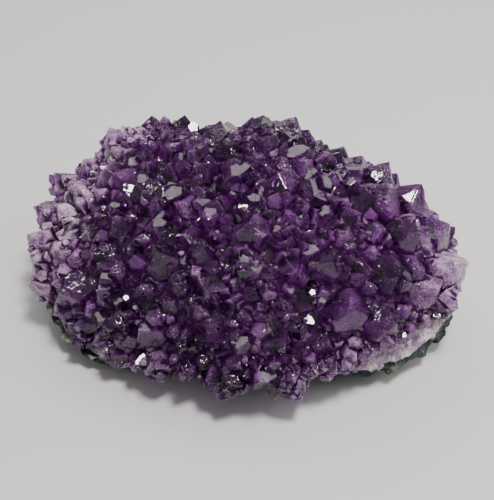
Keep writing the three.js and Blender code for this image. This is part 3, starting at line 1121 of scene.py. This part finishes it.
class Surface:
    """The surface of a mesh, which a ray finds. All lengths are in millimetres."""

    FAR = 80.0

    def __init__(self, thing: bpy.types.Object) -> None:
        """Reads the mesh of an object that stands unturned in the middle.

        Args:
            thing: the object.
        """
        shape = bmesh.new()
        shape.from_mesh(thing.data)
        self.tree = BVHTree.FromBMesh(shape)
        shape.free()

    def over(
        self, foot: np.ndarray, way: np.ndarray, away: float
    ) -> tuple[np.ndarray, np.ndarray, float] | None:
        """Looks back at a foot from so far out and finds what stands over it.

        Args:
            foot: the place looked at.
            way: outward from it.
            away: how far out the look starts.

        Returns:
            The point that it meets, the way that the surface faces there and the point's height
            over the foot, or None where it meets nothing.
        """
        start = Vector((foot + away * way) * MM)
        point, facing, _, distance = self.tree.ray_cast(start, Vector(-way))
        if point is None:
            return None
        return np.array(point) / MM, np.array(facing), away - distance / MM

    def side(self, angle: float, height: float) -> tuple[np.ndarray, np.ndarray, float] | None:
        """Returns what is met on the cluster's side at an angle and a height, as over does."""
        return self.over(np.array((0, 0, height)), level_way(angle), self.FAR)


@dataclass
class CrystalCrust:
    """The purple crystals, all grown together into one crust.

    Each width is half of a crystal's width, lengths are in millimetres, and a range that scales a
    length is drawn anew for each crystal.
    """

    finish: AmethystFinish = field(default_factory=AmethystFinish)

    # The large crystals, as the CAD part grows them. Each growth has its tries, how near a crystal
    # comes to another, and its smallest and largest width.
    large_seed: int = 997
    crowding: float = 1.1
    growths: tuple[tuple[int, float, float, float], ...] = (
        (1500, 0.7, 3.9, 4.8), (250, 0.65, 3, 3.7),
    )
    outward: float = 0.35
    splay: float = 0.3
    upturn: float = 0.35
    upturn_reach: int = 4
    standing: Range = (1.2, 1.7)

    # The looks, and the widths from which a crystal is darker, big, edged and chipped.
    seed: int = 4201
    tones: Range = (0.05, 0.95)
    dark_from: float = 3.6
    big_from: float = 4.2
    big_tone: float = 0.55
    deepening: float = 0.8
    lightening: float = 0.25
    milkiness: Range = (0.7, 1.15)
    stray_milk: Range = (-0.35, 0.1)
    worn_anywhere: float = 0.02
    worn_where_pale: float = 0.3
    worn_where_round: float = 0.6
    edged_from: float = 1.2
    chipped_from: float = 1.8
    chips: Range = (1, 4.9)
    chip: float = 0.13
    worn_chips: int = 4
    worn_chip: float = 0.3
    small_edge: float = 0.06
    least_edge: float = 0.025
    edge_growth: float = 0.01

    # The middling crystals between the large ones.
    medium: int = 650
    medium_width: Range = (1.9, 3.2)
    medium_reach: Range = (3.6, 6.0)
    medium_lean: float = 0.6
    medium_room: float = 0.44
    medium_outward: float = 0.5

    # Twins, growth steps and cracks: how many tries, and how often a try gives one. Only wide
    # crystals crack.
    twin_tries: int = 2
    twins: float = 0.28
    twin_aside: Range = (0.35, 0.75)
    twin_width: Range = (0.38, 0.6)
    twin_rise: Range = (0.5, 1.1)
    twin_overtop: float = 1.02
    twin_tone: Range = (-0.2, 0.2)
    twin_milk: Range = (-0.1, 0.3)
    twin_wear: float = 0.03
    twin_edge: float = 0.1
    step_tries: int = 2
    steps: float = 0.4
    step_on_rise: Range = (0.2, 0.98)
    step_inset: Range = (0.06, 0.16)
    step_height: Range = (0.012, 0.035)
    step_foot: float = 0.2
    step_sides: int = 3
    step_spread: float = 0.8
    step_edge: float = 0.03
    step_tone: Range = (-0.15, 0.15)
    step_milk: Range = (-0.1, 0.15)
    wide: float = 2.6
    crack_tries: int = 4
    cracks: float = 0.5
    crack_size: Range = (0.15, 0.6)
    crack_opening: Range = (0.012, 0.03)
    crack_sides: Range = (0.45, 1.0)
    crack_twist: Range = (-0.3, 0.3)
    crack_depth: Range = (0.05, 0.55)
    crack_aside: Range = (-0.3, 0.3)
    flaws: int = 16
    flaw_scale: float = 0.4

    # The small crystals in the gaps and on the faces. They are looked for from outside.
    small: int = 1900
    small_reach: Range = (1.0, 2.1)
    small_root: float = 1.5
    small_lean: float = 0.45
    smallness: float = 1.6
    small_sinking: Range = (0.3, 1)
    gap_outward: float = 0.45
    look_from: float = 25
    gap_height: float = 1.7
    gap_width: Range = (0.9, 2.4)
    frost_height: float = 2.2
    frost_width: Range = (0.5, 1.5)
    frost_sunk: float = 0.3
    frost_anywhere: float = 0.01
    frosting: float = 0.6

    # The crystals that gleam, which are looked for from the eye's side.
    sight_from: float = 30
    gleam_height: float = 4.2
    gleam_reach: float = 1.8
    gleam_lean: float = 0.4
    gleam_face: float = 0.15
    gleam_chip: float = 0.2
    gleam_polish: float = 0.75
    gleam_rise: float = 0.4
    gleam_tone: Range = (0.1, 0.6)
    gleam_edge: float = 0.05

    # The small crystals round the rim, and the crust that carries them all.
    rim_grains: int = 420
    rim_band: Range = (-2.5, 5)
    rim_width: Range = (0.8, 2.0)
    rim_from: float = 0.85
    rim_milk: float = 0.2
    thickness: float = 1.3
    depth: float = 2.0
    waves: tuple[Range, ...] = ((0.35, 1), (0.9, 0.6))
    row_spread: float = 0.8
    least_share: float = 0.002
    columns: int = 144
    rows: int = 22
    crystals: list[Crystal] = field(default_factory=list)

    def __post_init__(self) -> None:
        """Reads the room that the CAD part leaves, and starts the draws."""
        low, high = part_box(Node.CRYSTALS.value)
        self.low = np.array(low) / MM
        self.high = np.array(high) / MM
        self.draws = Draws(self.seed)

    def looked(self, crystal: Crystal) -> Crystal:
        """Gives a crystal its wear, its depth of colour and its cloudiness from where it stands.

        Args:
            crystal: which is changed.

        Returns:
            The same crystal.
        """
        draws = self.draws
        x, y = crystal.root[:2]
        pale = spotted(PALE_SPOTS, x, y)
        deep = spotted(DEEP_SPOTS, x, y)
        rounded = spotted(WORN_SPOTS, x, y)
        tone = draws(*self.tones) * min(1, self.dark_from / crystal.width)
        brightest = 1 if crystal.width < self.big_from else self.big_tone
        tone *= 1 - self.deepening * deep
        tone += self.lightening * pale
        crystal.tone = held(tone + self.lightening * rounded, 0, brightest)
        crystal.milk = held(pale * draws(*self.milkiness) + draws(*self.stray_milk))
        wear = self.worn_anywhere + self.worn_where_pale * pale + self.worn_where_round * rounded
        worn = draws() < wear
        if crystal.width < self.chipped_from:
            crystal.edge = self.small_edge if crystal.width > self.edged_from else 0
        elif worn:
            depth = self.worn_chip * crystal.width
            crystal.habit = crystal.habit.chipped(draws, self.worn_chips, depth)
            crystal.worn = True
        else:
            chips = int(draws(*self.chips))
            crystal.habit = crystal.habit.chipped(draws, chips, self.chip * crystal.width)
            crystal.edge = self.edge_growth * crystal.width + self.least_edge
        return crystal

    def fits(self, crystal: Crystal) -> bool:
        """Compares a crystal with the CAD part's room.

        Args:
            crystal: the crystal.

        Returns:
            True where it keeps inside the room and off the room's foot.
        """
        corners = crystal.corners()
        above = corners[:, 2] > self.low[2] + 1
        inside = (corners[:, :2] > self.low[:2]).all() and (corners < self.high).all()
        return bool(inside and above.all())

    def large_at(self, draws: Draws, angle: float, share: float, width: float) -> Crystal:
        """Draws one large crystal as the CAD part does.

        Args:
            draws: where the chance comes from.
            angle: round the middle.
            share: of the way to the rim.
            width: half its width.

        Returns:
            The crystal.
        """
        normal = BED.normal(angle, share)
        lean_turn = draws(0, TURN)
        lean = self.splay * math.sqrt(draws())
        spin = draws(0, TURN)
        reach = width * draws(*self.standing)
        axis = normal.copy()
        axis[2] += self.upturn * share**self.upturn_reach * (1 - normal[2])
        axis[0] += lean * math.cos(lean_turn)
        axis[1] += lean * math.sin(lean_turn)
        habit = Habit.drawn(draws, width, reach)
        return Crystal(BED.point(angle, share), turned(unit(axis), spin), width, reach, habit)

    @staticmethod
    def room(crystals: list[Crystal], root: np.ndarray, width: float, closeness: float) -> bool:
        """Looks for room for a new crystal.

        Args:
            crystals: those that stand.
            root: where the new one would stand.
            width: half its width.
            closeness: how near it may come, as a share of both half-widths.

        Returns:
            True where no crystal is nearer.
        """
        away = np.linalg.norm(np.array([c.root for c in crystals]) - root, axis=1)
        widths = np.array([c.width for c in crystals])
        return bool((away >= closeness * (widths + width)).all())

    def grow_large(self) -> None:
        """Grows the large crystals where the CAD part has them."""
        draws = Draws(self.large_seed)
        grown = []
        for x, y, width in LARGE:
            grown.append(self.large_at(draws, *BED.place(x, y), width * self.crowding))
        for tries, closeness, least, most in self.growths:
            for _ in range(tries):
                angle = draws(0, TURN)
                share = draws() ** self.outward
                width = draws(least, most)
                if self.room(grown, BED.point(angle, share), width, closeness):
                    grown.append(self.large_at(draws, angle, share, width))
        self.crystals = [self.looked(crystal) for crystal in grown]
        log.info("large crystals: %d", len(grown))

    def crowd(self) -> None:
        """Sets crystals of middling size between the large ones, leaning every way."""
        draws = self.draws
        for _ in range(self.medium):
            angle = draws(0, TURN)
            share = draws() ** self.medium_outward
            width = draws(*self.medium_width)
            root = BED.point(angle, share)
            if not self.room(self.crystals, root, width, self.medium_room):
                continue
            axis = unit(BED.normal(angle, share) + self.medium_lean * draws.lean())
            reach = draws(*self.medium_reach)
            habit = Habit.drawn(draws, width, reach)
            made = Crystal(root, turned(axis, draws(0, TURN)), width, reach, habit)
            if self.fits(made):
                self.crystals.append(self.looked(made))
        log.info("with middling crystals: %d", len(self.crystals))

    def twin(self, parent: Crystal) -> Crystal:
        """Draws a smaller crystal that grew on a large one, turned the same way.

        Args:
            parent: the large one.

        Returns:
            The smaller one.
        """
        draws = self.draws
        turn = draws(0, TURN)
        aside = parent.width * draws(*self.twin_aside)
        width = parent.width * draws(*self.twin_width)
        slope = math.cos(FACE_SLOPE) / math.sin(FACE_SLOPE)
        reach = parent.reach - slope * aside + width * draws(*self.twin_rise)
        reach = max(min(reach, parent.reach * self.twin_overtop), width)
        root = parent.root + parent.turn @ (level_way(turn) * aside)
        habit = Habit.drawn(draws, width, reach)
        tone = held(parent.tone + draws(*self.twin_tone))
        milk = held(parent.milk + draws(*self.twin_milk))
        edge = min(self.twin_wear * width + self.twin_wear, self.twin_edge)
        return Crystal(root, parent.turn, width, reach, habit, edge, tone, milk)

    def step_on(self, parent: Crystal) -> Crystal | None:
        """Draws a growth step: a thin terrace over part of one tip face of a crystal.

        Args:
            parent: the crystal.

        Returns:
            The step, or None where there is no room for it.
        """
        draws = self.draws
        habit = parent.habit
        low, high = self.step_on_rise
        tips = [k for k, n in enumerate(habit.normals) if low < n[2] < high]
        chosen = tips[int(draws() * len(tips)) % len(tips)]
        normal = habit.normals[chosen]
        face = habit.face(chosen)
        if len(face) < 3:
            return None
        middle = face.mean(axis=0)
        spread = np.linalg.norm(face - middle, axis=1).max()
        distances = habit.distances - draws(*self.step_inset) * parent.width
        distances[chosen] = habit.distances[chosen] + draws(*self.step_height) * parent.width
        distances[0] = habit.distances[0] - self.step_foot
        normals = list(habit.normals)
        distances = list(distances)
        across = unit(face[0] - middle)
        along = np.cross(normal, across)
        for _ in range(self.step_sides):
            turn = draws(0, TURN)
            side = math.cos(turn) * across + math.sin(turn) * along
            normals.append(side)
            distances.append(middle @ side + spread * draws(0, self.step_spread))
        step = Habit(np.array(normals), np.array(distances))
        if not step.faces():
            return None
        tone = held(parent.tone + draws(*self.step_tone))
        milk = held(parent.milk + draws(*self.step_milk))
        return Crystal(
            parent.root, parent.turn, parent.width, parent.reach, step, self.step_edge, tone, milk
        )

    def crack_in(self, parent: Crystal, scale: float = 1.0) -> Crystal:
        """Draws a crack: a thin six-sided hollow inside a crystal, which glints.

        Args:
            parent: the crystal.
            scale: of the crack.

        Returns:
            The hollow.
        """
        draws = self.draws
        axis = unit(draws.lean())
        size = parent.width * draws(*self.crack_size) * scale
        thin = draws(*self.crack_opening)
        normals = [(0.0, 0.0, 1.0), (0.0, 0.0, -1.0)]
        distances = [thin, thin]
        for k in range(6):
            normals.append(level_way(TURN * (k + draws(*self.crack_twist)) / 6))
            distances.append(size * draws(*self.crack_sides))
        inward = parent.reach * draws(*self.crack_depth)
        aside = parent.width * draws(*self.crack_aside)
        ahead = parent.width * draws(*self.crack_aside)
        root = parent.root + parent.turn @ np.array((aside, ahead, inward))
        habit = Habit(np.array(normals), np.array(distances))
        return Crystal(root, turned(axis, draws(0, TURN)), size, size, habit, 0.0)

    def small_at(
        self, point: np.ndarray, normal: np.ndarray, widths: Range, sunk: float = 0.9
    ) -> Crystal:
        """Draws a small crystal on a surface.

        Args:
            point: on the surface, in millimetres.
            normal: of the surface or of the bed below it.
            widths: half the width of the smallest and of the largest.
            sunk: how deep the deepest root is in the surface, in half-widths.

        Returns:
            The crystal, sunk a little into the surface.
        """
        draws = self.draws
        least, most = widths
        width = least + (most - least) * draws() ** self.smallness
        reach = width * draws(*self.small_reach)
        axis = unit(normal + self.small_lean * draws.lean())
        root = point - axis * width * draws(*self.small_sinking) * sunk
        habit = Habit.drawn(draws, width, reach, root=self.small_root * width)
        return self.looked(Crystal(root, turned(axis, draws(0, TURN)), width, reach, habit))

    def fill_gaps(self, surface: Surface) -> list[Crystal]:
        """Sets small crystals in the hollows between the large ones, and a few on their faces.

        Args:
            surface: of the large crystals.

        Returns:
            The small ones.
        """
        found = []
        draws = self.draws
        for _ in range(self.small):
            angle = draws(0, TURN)
            share = draws() ** self.gap_outward
            foot = BED.point(angle, share)
            normal = BED.normal(angle, share)
            met = surface.over(foot, normal, self.look_from)
            if met is None:
                continue
            point, _, height = met
            if height < self.gap_height:
                found.append(self.small_at(point, normal, self.gap_width))
                continue
            frosted = self.frost_anywhere + self.frosting * spotted(FROST_SPOTS, *foot[:2])
            if height < self.frost_height or draws() < frosted:
                found.append(self.small_at(point, normal, self.frost_width, self.frost_sunk))
        return found

    def gleam_at(
        self, surface: Surface, lamp: np.ndarray, x: float, y: float, width: float
    ) -> Crystal | None:
        """Draws a crystal with a wide tip face that throws a lamp's light back at the eye.

        Args:
            surface: of the crystals that it stands on.
            lamp: the lamp's place, in millimetres.
            x: of the place on the bed below the crystal.
            y: of the same place.
            width: half its width.

        Returns:
            The crystal, or None where nothing carries it.
        """
        draws = self.draws
        angle, share = BED.place(x, y)
        normal = BED.normal(angle, share)
        over = BED.point(angle, share) + self.gleam_height * normal
        sight = unit(EYE - over)
        met = surface.over(over, sight, self.sight_from)
        if met is None:
            return None
        middle = met[0] + self.gleam_rise * width * sight
        facing = unit(unit(EYE - middle) + unit(lamp - middle))
        aside = normal + self.gleam_lean * draws.lean()
        aside = unit(aside - (aside @ facing) * facing)
        axis = math.sin(FACE_SLOPE) * facing + math.cos(FACE_SLOPE) * aside
        across = (facing - math.sin(FACE_SLOPE) * axis) / math.cos(FACE_SLOPE)
        turn = np.column_stack((across, np.cross(axis, across), axis))
        reach = self.gleam_reach * width
        habit = Habit.drawn(draws, width, reach, root=self.small_root * width)
        widest = int((habit.normals @ np.linalg.inv(turn) @ facing).argmax())
        habit.distances[widest] -= self.gleam_face * width
        habit = habit.chipped(draws, 3, self.gleam_chip * width)
        root = middle - turn @ habit.face(widest).mean(axis=0)
        tone = draws(*self.gleam_tone)
        return Crystal(
            root, turn, width, reach, habit, self.gleam_edge, tone, polished=self.gleam_polish
        )

    def catch_light(self, surface: Surface) -> list[Crystal]:
        """Sets the crystals whose faces gleam in the lamps' light, some with a growth step.

        Args:
            surface: of the crystals that they stand on.

        Returns:
            The gleaming crystals and their steps.
        """
        sparkling = [self.gleam_at(surface, SPARK_AT, *spot) for spot in SPARKLING]
        gleaming = [self.gleam_at(surface, WINDOW_AT, *spot) for spot in GLEAMING]
        found = [c for c in sparkling + gleaming if c]
        steps = [self.step_on(c) for c in sparkling if c]
        return found + [step for step in steps if step]

    def grow_rim(self, surface: Surface) -> list[Crystal]:
        """Sets small pale crystals round the outside of the rim.

        Args:
            surface: of the crystals that they stand on.

        Returns:
            The small ones.
        """
        found = []
        draws = self.draws
        for _ in range(self.rim_grains):
            angle = draws(0, TURN)
            met = surface.side(angle, ring_at(BED.rim, angle) + draws(*self.rim_band))
            if met is None:
                continue
            point, facing, _ = met
            if math.hypot(*point[:2]) < self.rim_from * ring_at(BED.radius, angle):
                continue
            crystal = self.small_at(point, unit(facing + level_way(angle)), self.rim_width)
            crystal.milk = min(crystal.milk + self.rim_milk, 1)
            found.append(crystal)
        return found

    def crust_body(self) -> bpy.types.Object:
        """Makes the wavy crust between the crystals, which reaches into the white quartz.

        Returns:
            The closed body, which stands in no collection yet.
        """
        angles = [TURN * k / self.columns for k in range(self.columns)]
        top = []
        under = []
        for share in np.linspace(0, 1, self.rows) ** self.row_spread:
            row = []
            low = []
            for angle in angles:
                spot = 0.0 if share == 0 else angle
                point = BED.point(spot, share)
                wave = sum(high * noise.noise(Vector(point) * rate) for rate, high in self.waves)
                rise = self.thickness + (wave if 0 < share < 1 else 0)
                row.append(point + BED.normal(spot, max(share, self.least_share)) * rise)
                low.append(point - np.array((0, 0, self.depth)))
            top.append(row)
            under.append(low)
        rings = np.array(top + under[-2::-1])
        rings[-1] = rings[-1, 0]
        rings[0] = rings[0, 0]
        crust = closed_shell("crust", rings)
        milk = [spotted(PALE_SPOTS, v.co.x / MM, v.co.y / MM) for v in crust.data.vertices]
        carry(crust.data, "milk", milk)
        return crust

    @staticmethod
    def shade(mesh: bpy.types.Mesh) -> None:
        """Shades the worn crystals smooth and all the others flat.

        Args:
            mesh: which is changed.
        """
        worn = np.zeros(len(mesh.vertices))
        mesh.attributes["worn"].data.foreach_get("value", worn)
        corners = np.zeros(len(mesh.loops), dtype=np.int32)
        mesh.loops.foreach_get("vertex_index", corners)
        starts = np.zeros(len(mesh.polygons), dtype=np.int32)
        mesh.polygons.foreach_get("loop_start", starts)
        soft = np.minimum.reduceat(worn[corners], starts) > 0.5
        mesh.polygons.foreach_set("use_smooth", soft)
        log.info("worn faces: %d of %d", soft.sum(), len(soft))

    def grow_cracks(self) -> list[Crystal]:
        """Draws the cracks in the wide crystals, with more and smaller ones in the flawed.

        Returns:
            The hollows.
        """
        wide = [c for c in self.crystals if c.width > self.wide]
        draws = self.draws
        tries = range(self.crack_tries)
        cracks = [self.crack_in(c) for c in wide for _ in tries if draws() < self.cracks]
        for crystal in wide:
            flaws = int(self.flaws * spotted(FLAWED_SPOTS, *crystal.root[:2]))
            cracks += [self.crack_in(crystal, self.flaw_scale) for _ in range(flaws)]
        return cracks

    def build(self) -> bpy.types.Object:
        """Grows and joins all the crystals and gives them their finish.

        Returns:
            The crust.
        """
        self.grow_large()
        self.crowd()
        draws = self.draws
        tries = range(self.twin_tries)
        twins = [self.twin(c) for c in self.crystals for _ in tries if draws() < self.twins]
        self.crystals += [c for c in twins if self.fits(c)]
        plain = [c for c in self.crystals if not c.worn]
        tries = range(self.step_tries)
        steps = [self.step_on(c) for c in plain for _ in tries if draws() < self.steps]
        cracks = self.grow_cracks()
        self.crystals += [c for c in steps if c and self.fits(c)]
        log.info("with parallel growths and steps: %d", len(self.crystals))
        bodies = [c.body(f"large {k}") for k, c in enumerate(self.crystals)]
        heart = combined("crystal_heart", self.crust_body(), bodies)
        surface = Surface(heart)
        small = self.catch_light(surface) + self.fill_gaps(surface) + self.grow_rim(surface)
        small = [c for c in small if self.fits(c)]
        log.info("small crystals: %d", len(small))
        bodies = [c.body(f"small {k}") for k, c in enumerate(small)]
        whole = combined("whole_crust", heart, bodies)
        hollows = [c.body(f"crack {k}") for k, c in enumerate(cracks)]
        crust = combined("crystals", whole, hollows, "DIFFERENCE")
        for vert in crust.data.vertices:
            vert.co = np.clip(np.array(vert.co), self.low * MM, self.high * MM)
        self.shade(crust.data)
        dress(crust, self.finish.material(), Node.CRYSTALS)
        return crust


def refined(node: Node, name: str, longest: float) -> bpy.types.Object:
    """Copies a CAD node's mesh and divides its long edges.

    Args:
        node: to copy.
        name: of the copy.
        longest: edge that is left whole, in millimetres.

    Returns:
        The copy, linked to the scene.
    """
    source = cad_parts[node.value]
    shape = bmesh.new()
    shape.from_mesh(source.data)
    bmesh.ops.transform(shape, matrix=source.matrix_world, verts=shape.verts[:])
    bmesh.ops.remove_doubles(shape, verts=shape.verts[:], dist=1e-5)
    for _ in range(4):
        long = [e for e in shape.edges if e.calc_length() > longest * MM]
        if not long:
            break
        bmesh.ops.subdivide_edges(shape, edges=long, cuts=1)
        bmesh.ops.triangulate(shape, faces=shape.faces[:])
    drop_flaps(shape)
    mesh = bpy.data.meshes.new(name)
    shape.to_mesh(mesh)
    shape.free()
    return adopt(bpy.data.objects.new(name, mesh))


def roughened(
    thing: bpy.types.Object, relief: Callable[[Vector], float], low: np.ndarray, high: np.ndarray
) -> None:
    """Moves a mesh's corners along their normals, inside a box.

    Args:
        thing: whose mesh is changed.
        relief: how far out a corner at a place in millimetres moves.
        low: the box's lowest corner, in metres.
        high: its highest corner.
    """
    mesh = thing.data
    normals = [v.normal.copy() for v in mesh.vertices]
    for vert, normal in zip(mesh.vertices, normals):
        moved = vert.co + normal * relief(vert.co / MM) * MM
        vert.co = [min(max(m, a), b) for m, a, b in zip(moved, low, high)]


def softened(thing: bpy.types.Object, rounds: int, flat: float) -> None:
    """Wears the edges of a mesh, but not of its flat foot.

    Args:
        thing: whose mesh is changed.
        rounds: how many times each corner moves to the middle of its neighbours.
        flat: the height below which nothing moves, in millimetres.
    """
    shape = bmesh.new()
    shape.from_mesh(thing.data)
    for _ in range(rounds):
        loose = [v for v in shape.verts if v.co.z > flat * MM]
        even_out(shape, loose)
    shape.to_mesh(thing.data)
    shape.free()


@dataclass
class QuartzLayer:
    """The white quartz under the crystals, with grains on the band that shows.

    Lengths are in millimetres, and a grain's width is half of its width.
    """

    finish: QuartzFinish = field(default_factory=QuartzFinish)
    longest_edge: float = 3.0
    waviness: float = 0.5
    wave: float = 3.2
    grains: int = 1700
    grain_width: Range = (0.35, 1.1)
    grain_standing: Range = (0.7, 1.5)
    grain_lean: float = 0.5
    grain_root: float = 1.2
    grain_sunk: Range = (0.2, 0.6)
    grain_edge: float = 0.05
    seed: int = 77

    def relief(self, place: Vector) -> float:
        """Returns how far out the quartz stands at a place, in millimetres."""
        return self.waviness * noise.fractal(place / self.wave, 1.0, 2.0, 3)

    def granular(
        self, layer: bpy.types.Object, low: np.ndarray, high: np.ndarray
    ) -> list[bpy.types.Object]:
        """Makes the blunt little crystals that cover the band's outer side.

        Args:
            layer: the bare layer.
            low: the lowest corner of the room for it, in metres.
            high: the highest corner.

        Returns:
            The crystals' bodies.
        """
        draws = Draws(self.seed)
        surface = Surface(layer)
        bodies = []
        for k in range(self.grains):
            angle = TURN * k / self.grains
            height = ring_at(BED.rim, angle) - draws() * ring_at(BED.quartz_depth, angle)
            met = surface.side(angle, height)
            if met is None:
                continue
            point, facing, _ = met
            width = draws(*self.grain_width)
            reach = width * draws(*self.grain_standing)
            axis = unit(facing + self.grain_lean * draws.lean())
            habit = Habit.drawn(draws, width, reach, root=self.grain_root * width)
            root = point - axis * width * draws(*self.grain_sunk)
            turn = turned(axis, draws(0, TURN))
            grain = Crystal(root, turn, width, reach, habit, self.grain_edge)
            corners = grain.corners() * MM
            if (corners > low).all() and (corners < high).all():
                bodies.append(grain.body(f"grain {k}"))
        return bodies

    def build(self) -> bpy.types.Object:
        """Makes the layer and gives it its finish.

        Returns:
            The layer.
        """
        low, high = map(np.array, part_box(Node.QUARTZ.value))
        bare = refined(Node.QUARTZ, "bare_quartz", self.longest_edge)
        roughened(bare, self.relief, low, high)
        layer = combined("quartz_layer", bare, self.granular(bare, low, high))
        layer.data.shade_flat()
        dress(layer, self.finish.material(), Node.QUARTZ)
        return layer


@dataclass
class RockRind:
    """The dark green rock that carries the quartz, flat where it rests.

    Lengths are in millimetres. The skin is how much of the dull pale skin the rock keeps, left of
    the line where it turns pale and right of it; the much paler left side is partly real skin and
    partly painted highlight where the light falls.
    """

    finish: RockFinish = field(default_factory=RockFinish)
    longest_edge: float = 1.5
    wear: int = 3
    flat: float = 0.05
    lump: float = 5
    lumpiness: float = 0.5
    set_back: float = 0.5
    grit: float = 1.3
    grittiness: float = 0.3
    skin_and_highlight: Range = (2.4, 0.35)
    highlight_line: float = -20

    def relief(self, place: Vector) -> float:
        """Finds how far out the rock stands.

        Args:
            place: on the rock, in millimetres.

        Returns:
            How far out, in millimetres, and nothing on the flat foot.
        """
        if place.z < self.flat:
            return 0.0
        broken = noise.hetero_terrain(place / self.lump, 0.8, 2.0, 4, 0.5)
        fine = noise.fractal(place / self.grit, 0.9, 2.0, 2)
        return self.lumpiness * broken - self.set_back + self.grittiness * fine

    def build(self) -> bpy.types.Object:
        """Makes the rind and gives it its finish.

        Returns:
            The rind.
        """
        low, high = map(np.array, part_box(Node.RIND.value))
        rind = refined(Node.RIND, "rock_rind", self.longest_edge)
        softened(rind, self.wear, self.flat)
        roughened(rind, self.relief, low, high)
        # Left of the line the rock gets far more pale skin: partly real skin, partly painted
        # highlight.
        left, right = self.skin_and_highlight
        skin_and_highlight = [left if v.co.x < self.highlight_line * MM else right for v in rind.data.vertices]
        carry(rind.data, "skin_and_highlight", skin_and_highlight)
        dress(rind, self.finish.material(), Node.RIND)
        return rind


@dataclass(frozen=True)
class Lamp:
    """One soft square light: its name, where it is, its side in metres, power, colour and aim."""

    name: str
    at: tuple[float, float, float]
    side: float
    watts: float
    colour: Colour = (1.0, 0.97, 0.92)
    aim: tuple[float, float, float] = (0.0, 0.0, 0.02)

    def build(self) -> bpy.types.Object:
        """Makes the light.

        Returns:
            The light, which points at its aim.
        """
        light = bpy.data.lights.new(self.name, "AREA")
        light.shape = "SQUARE"
        light.size = self.side
        light.energy = self.watts
        light.color = self.colour
        thing = adopt(bpy.data.objects.new(self.name, light))
        thing.location = self.at
        away = Vector(self.at) - Vector(self.aim)
        thing.rotation_euler = away.to_track_quat("Z", "Y").to_euler()
        return thing


@dataclass
class Studio:
    """The plain floor, the soft light and the camera."""

    lens: float = 70.6
    sensor: float = 36.0
    around: Colour = (0.9, 0.88, 0.88)
    strength: float = 0.4
    floor_reach: float = 4.0
    lamps: tuple[Lamp, ...] = (
        Lamp("window", tuple(WINDOW_AT * MM), 0.38, 1.5),
        Lamp("side", (0.5, 0.05, 0.3), 0.4, 1.6, (1.0, 0.98, 0.95)),
        Lamp("spark", tuple(SPARK_AT * MM), 0.14, 4.4),
    )

    def build(self) -> None:
        """Sets up the floor, the light and the camera."""
        plane = bpy.data.meshes.new("floor")
        half = self.floor_reach
        plane.from_pydata(
            [(-half, -half, 0), (half, -half, 0), (half, half, 0), (-half, half, 0)],
            [], [(0, 1, 2, 3)],
        )
        floor = adopt(bpy.data.objects.new("floor", plane))
        plane.materials.append(FloorFinish().material())
        world = bpy.data.worlds.new("room")
        world.use_nodes = True
        back = world.node_tree.nodes["Background"]
        back.inputs["Color"].default_value = (*self.around, 1)
        back.inputs["Strength"].default_value = self.strength
        bpy.context.scene.world = world
        for lamp in self.lamps:
            lamp.build()
        lens = bpy.data.cameras.new("camera")
        lens.lens = self.lens
        lens.sensor_width = self.sensor
        camera = adopt(bpy.data.objects.new("camera", lens))
        camera.location = EYE * MM
        camera.rotation_euler = Vector(VIEW_WAY).to_track_quat("Z", "Y").to_euler()
        lens.clip_start = 0.01
        bpy.context.scene.camera = camera


def main() -> None:
    """Builds the pieces from the rock up, then the studio."""
    logging.basicConfig(level=logging.INFO, format="%(message)s")
    for part in (RockRind(), QuartzLayer(), CrystalCrust()):
        piece = part.build()
        log.info("%s: %d faces", piece.name, len(piece.data.polygons))
    Studio().build()


if __name__ == "__main__":
    main()
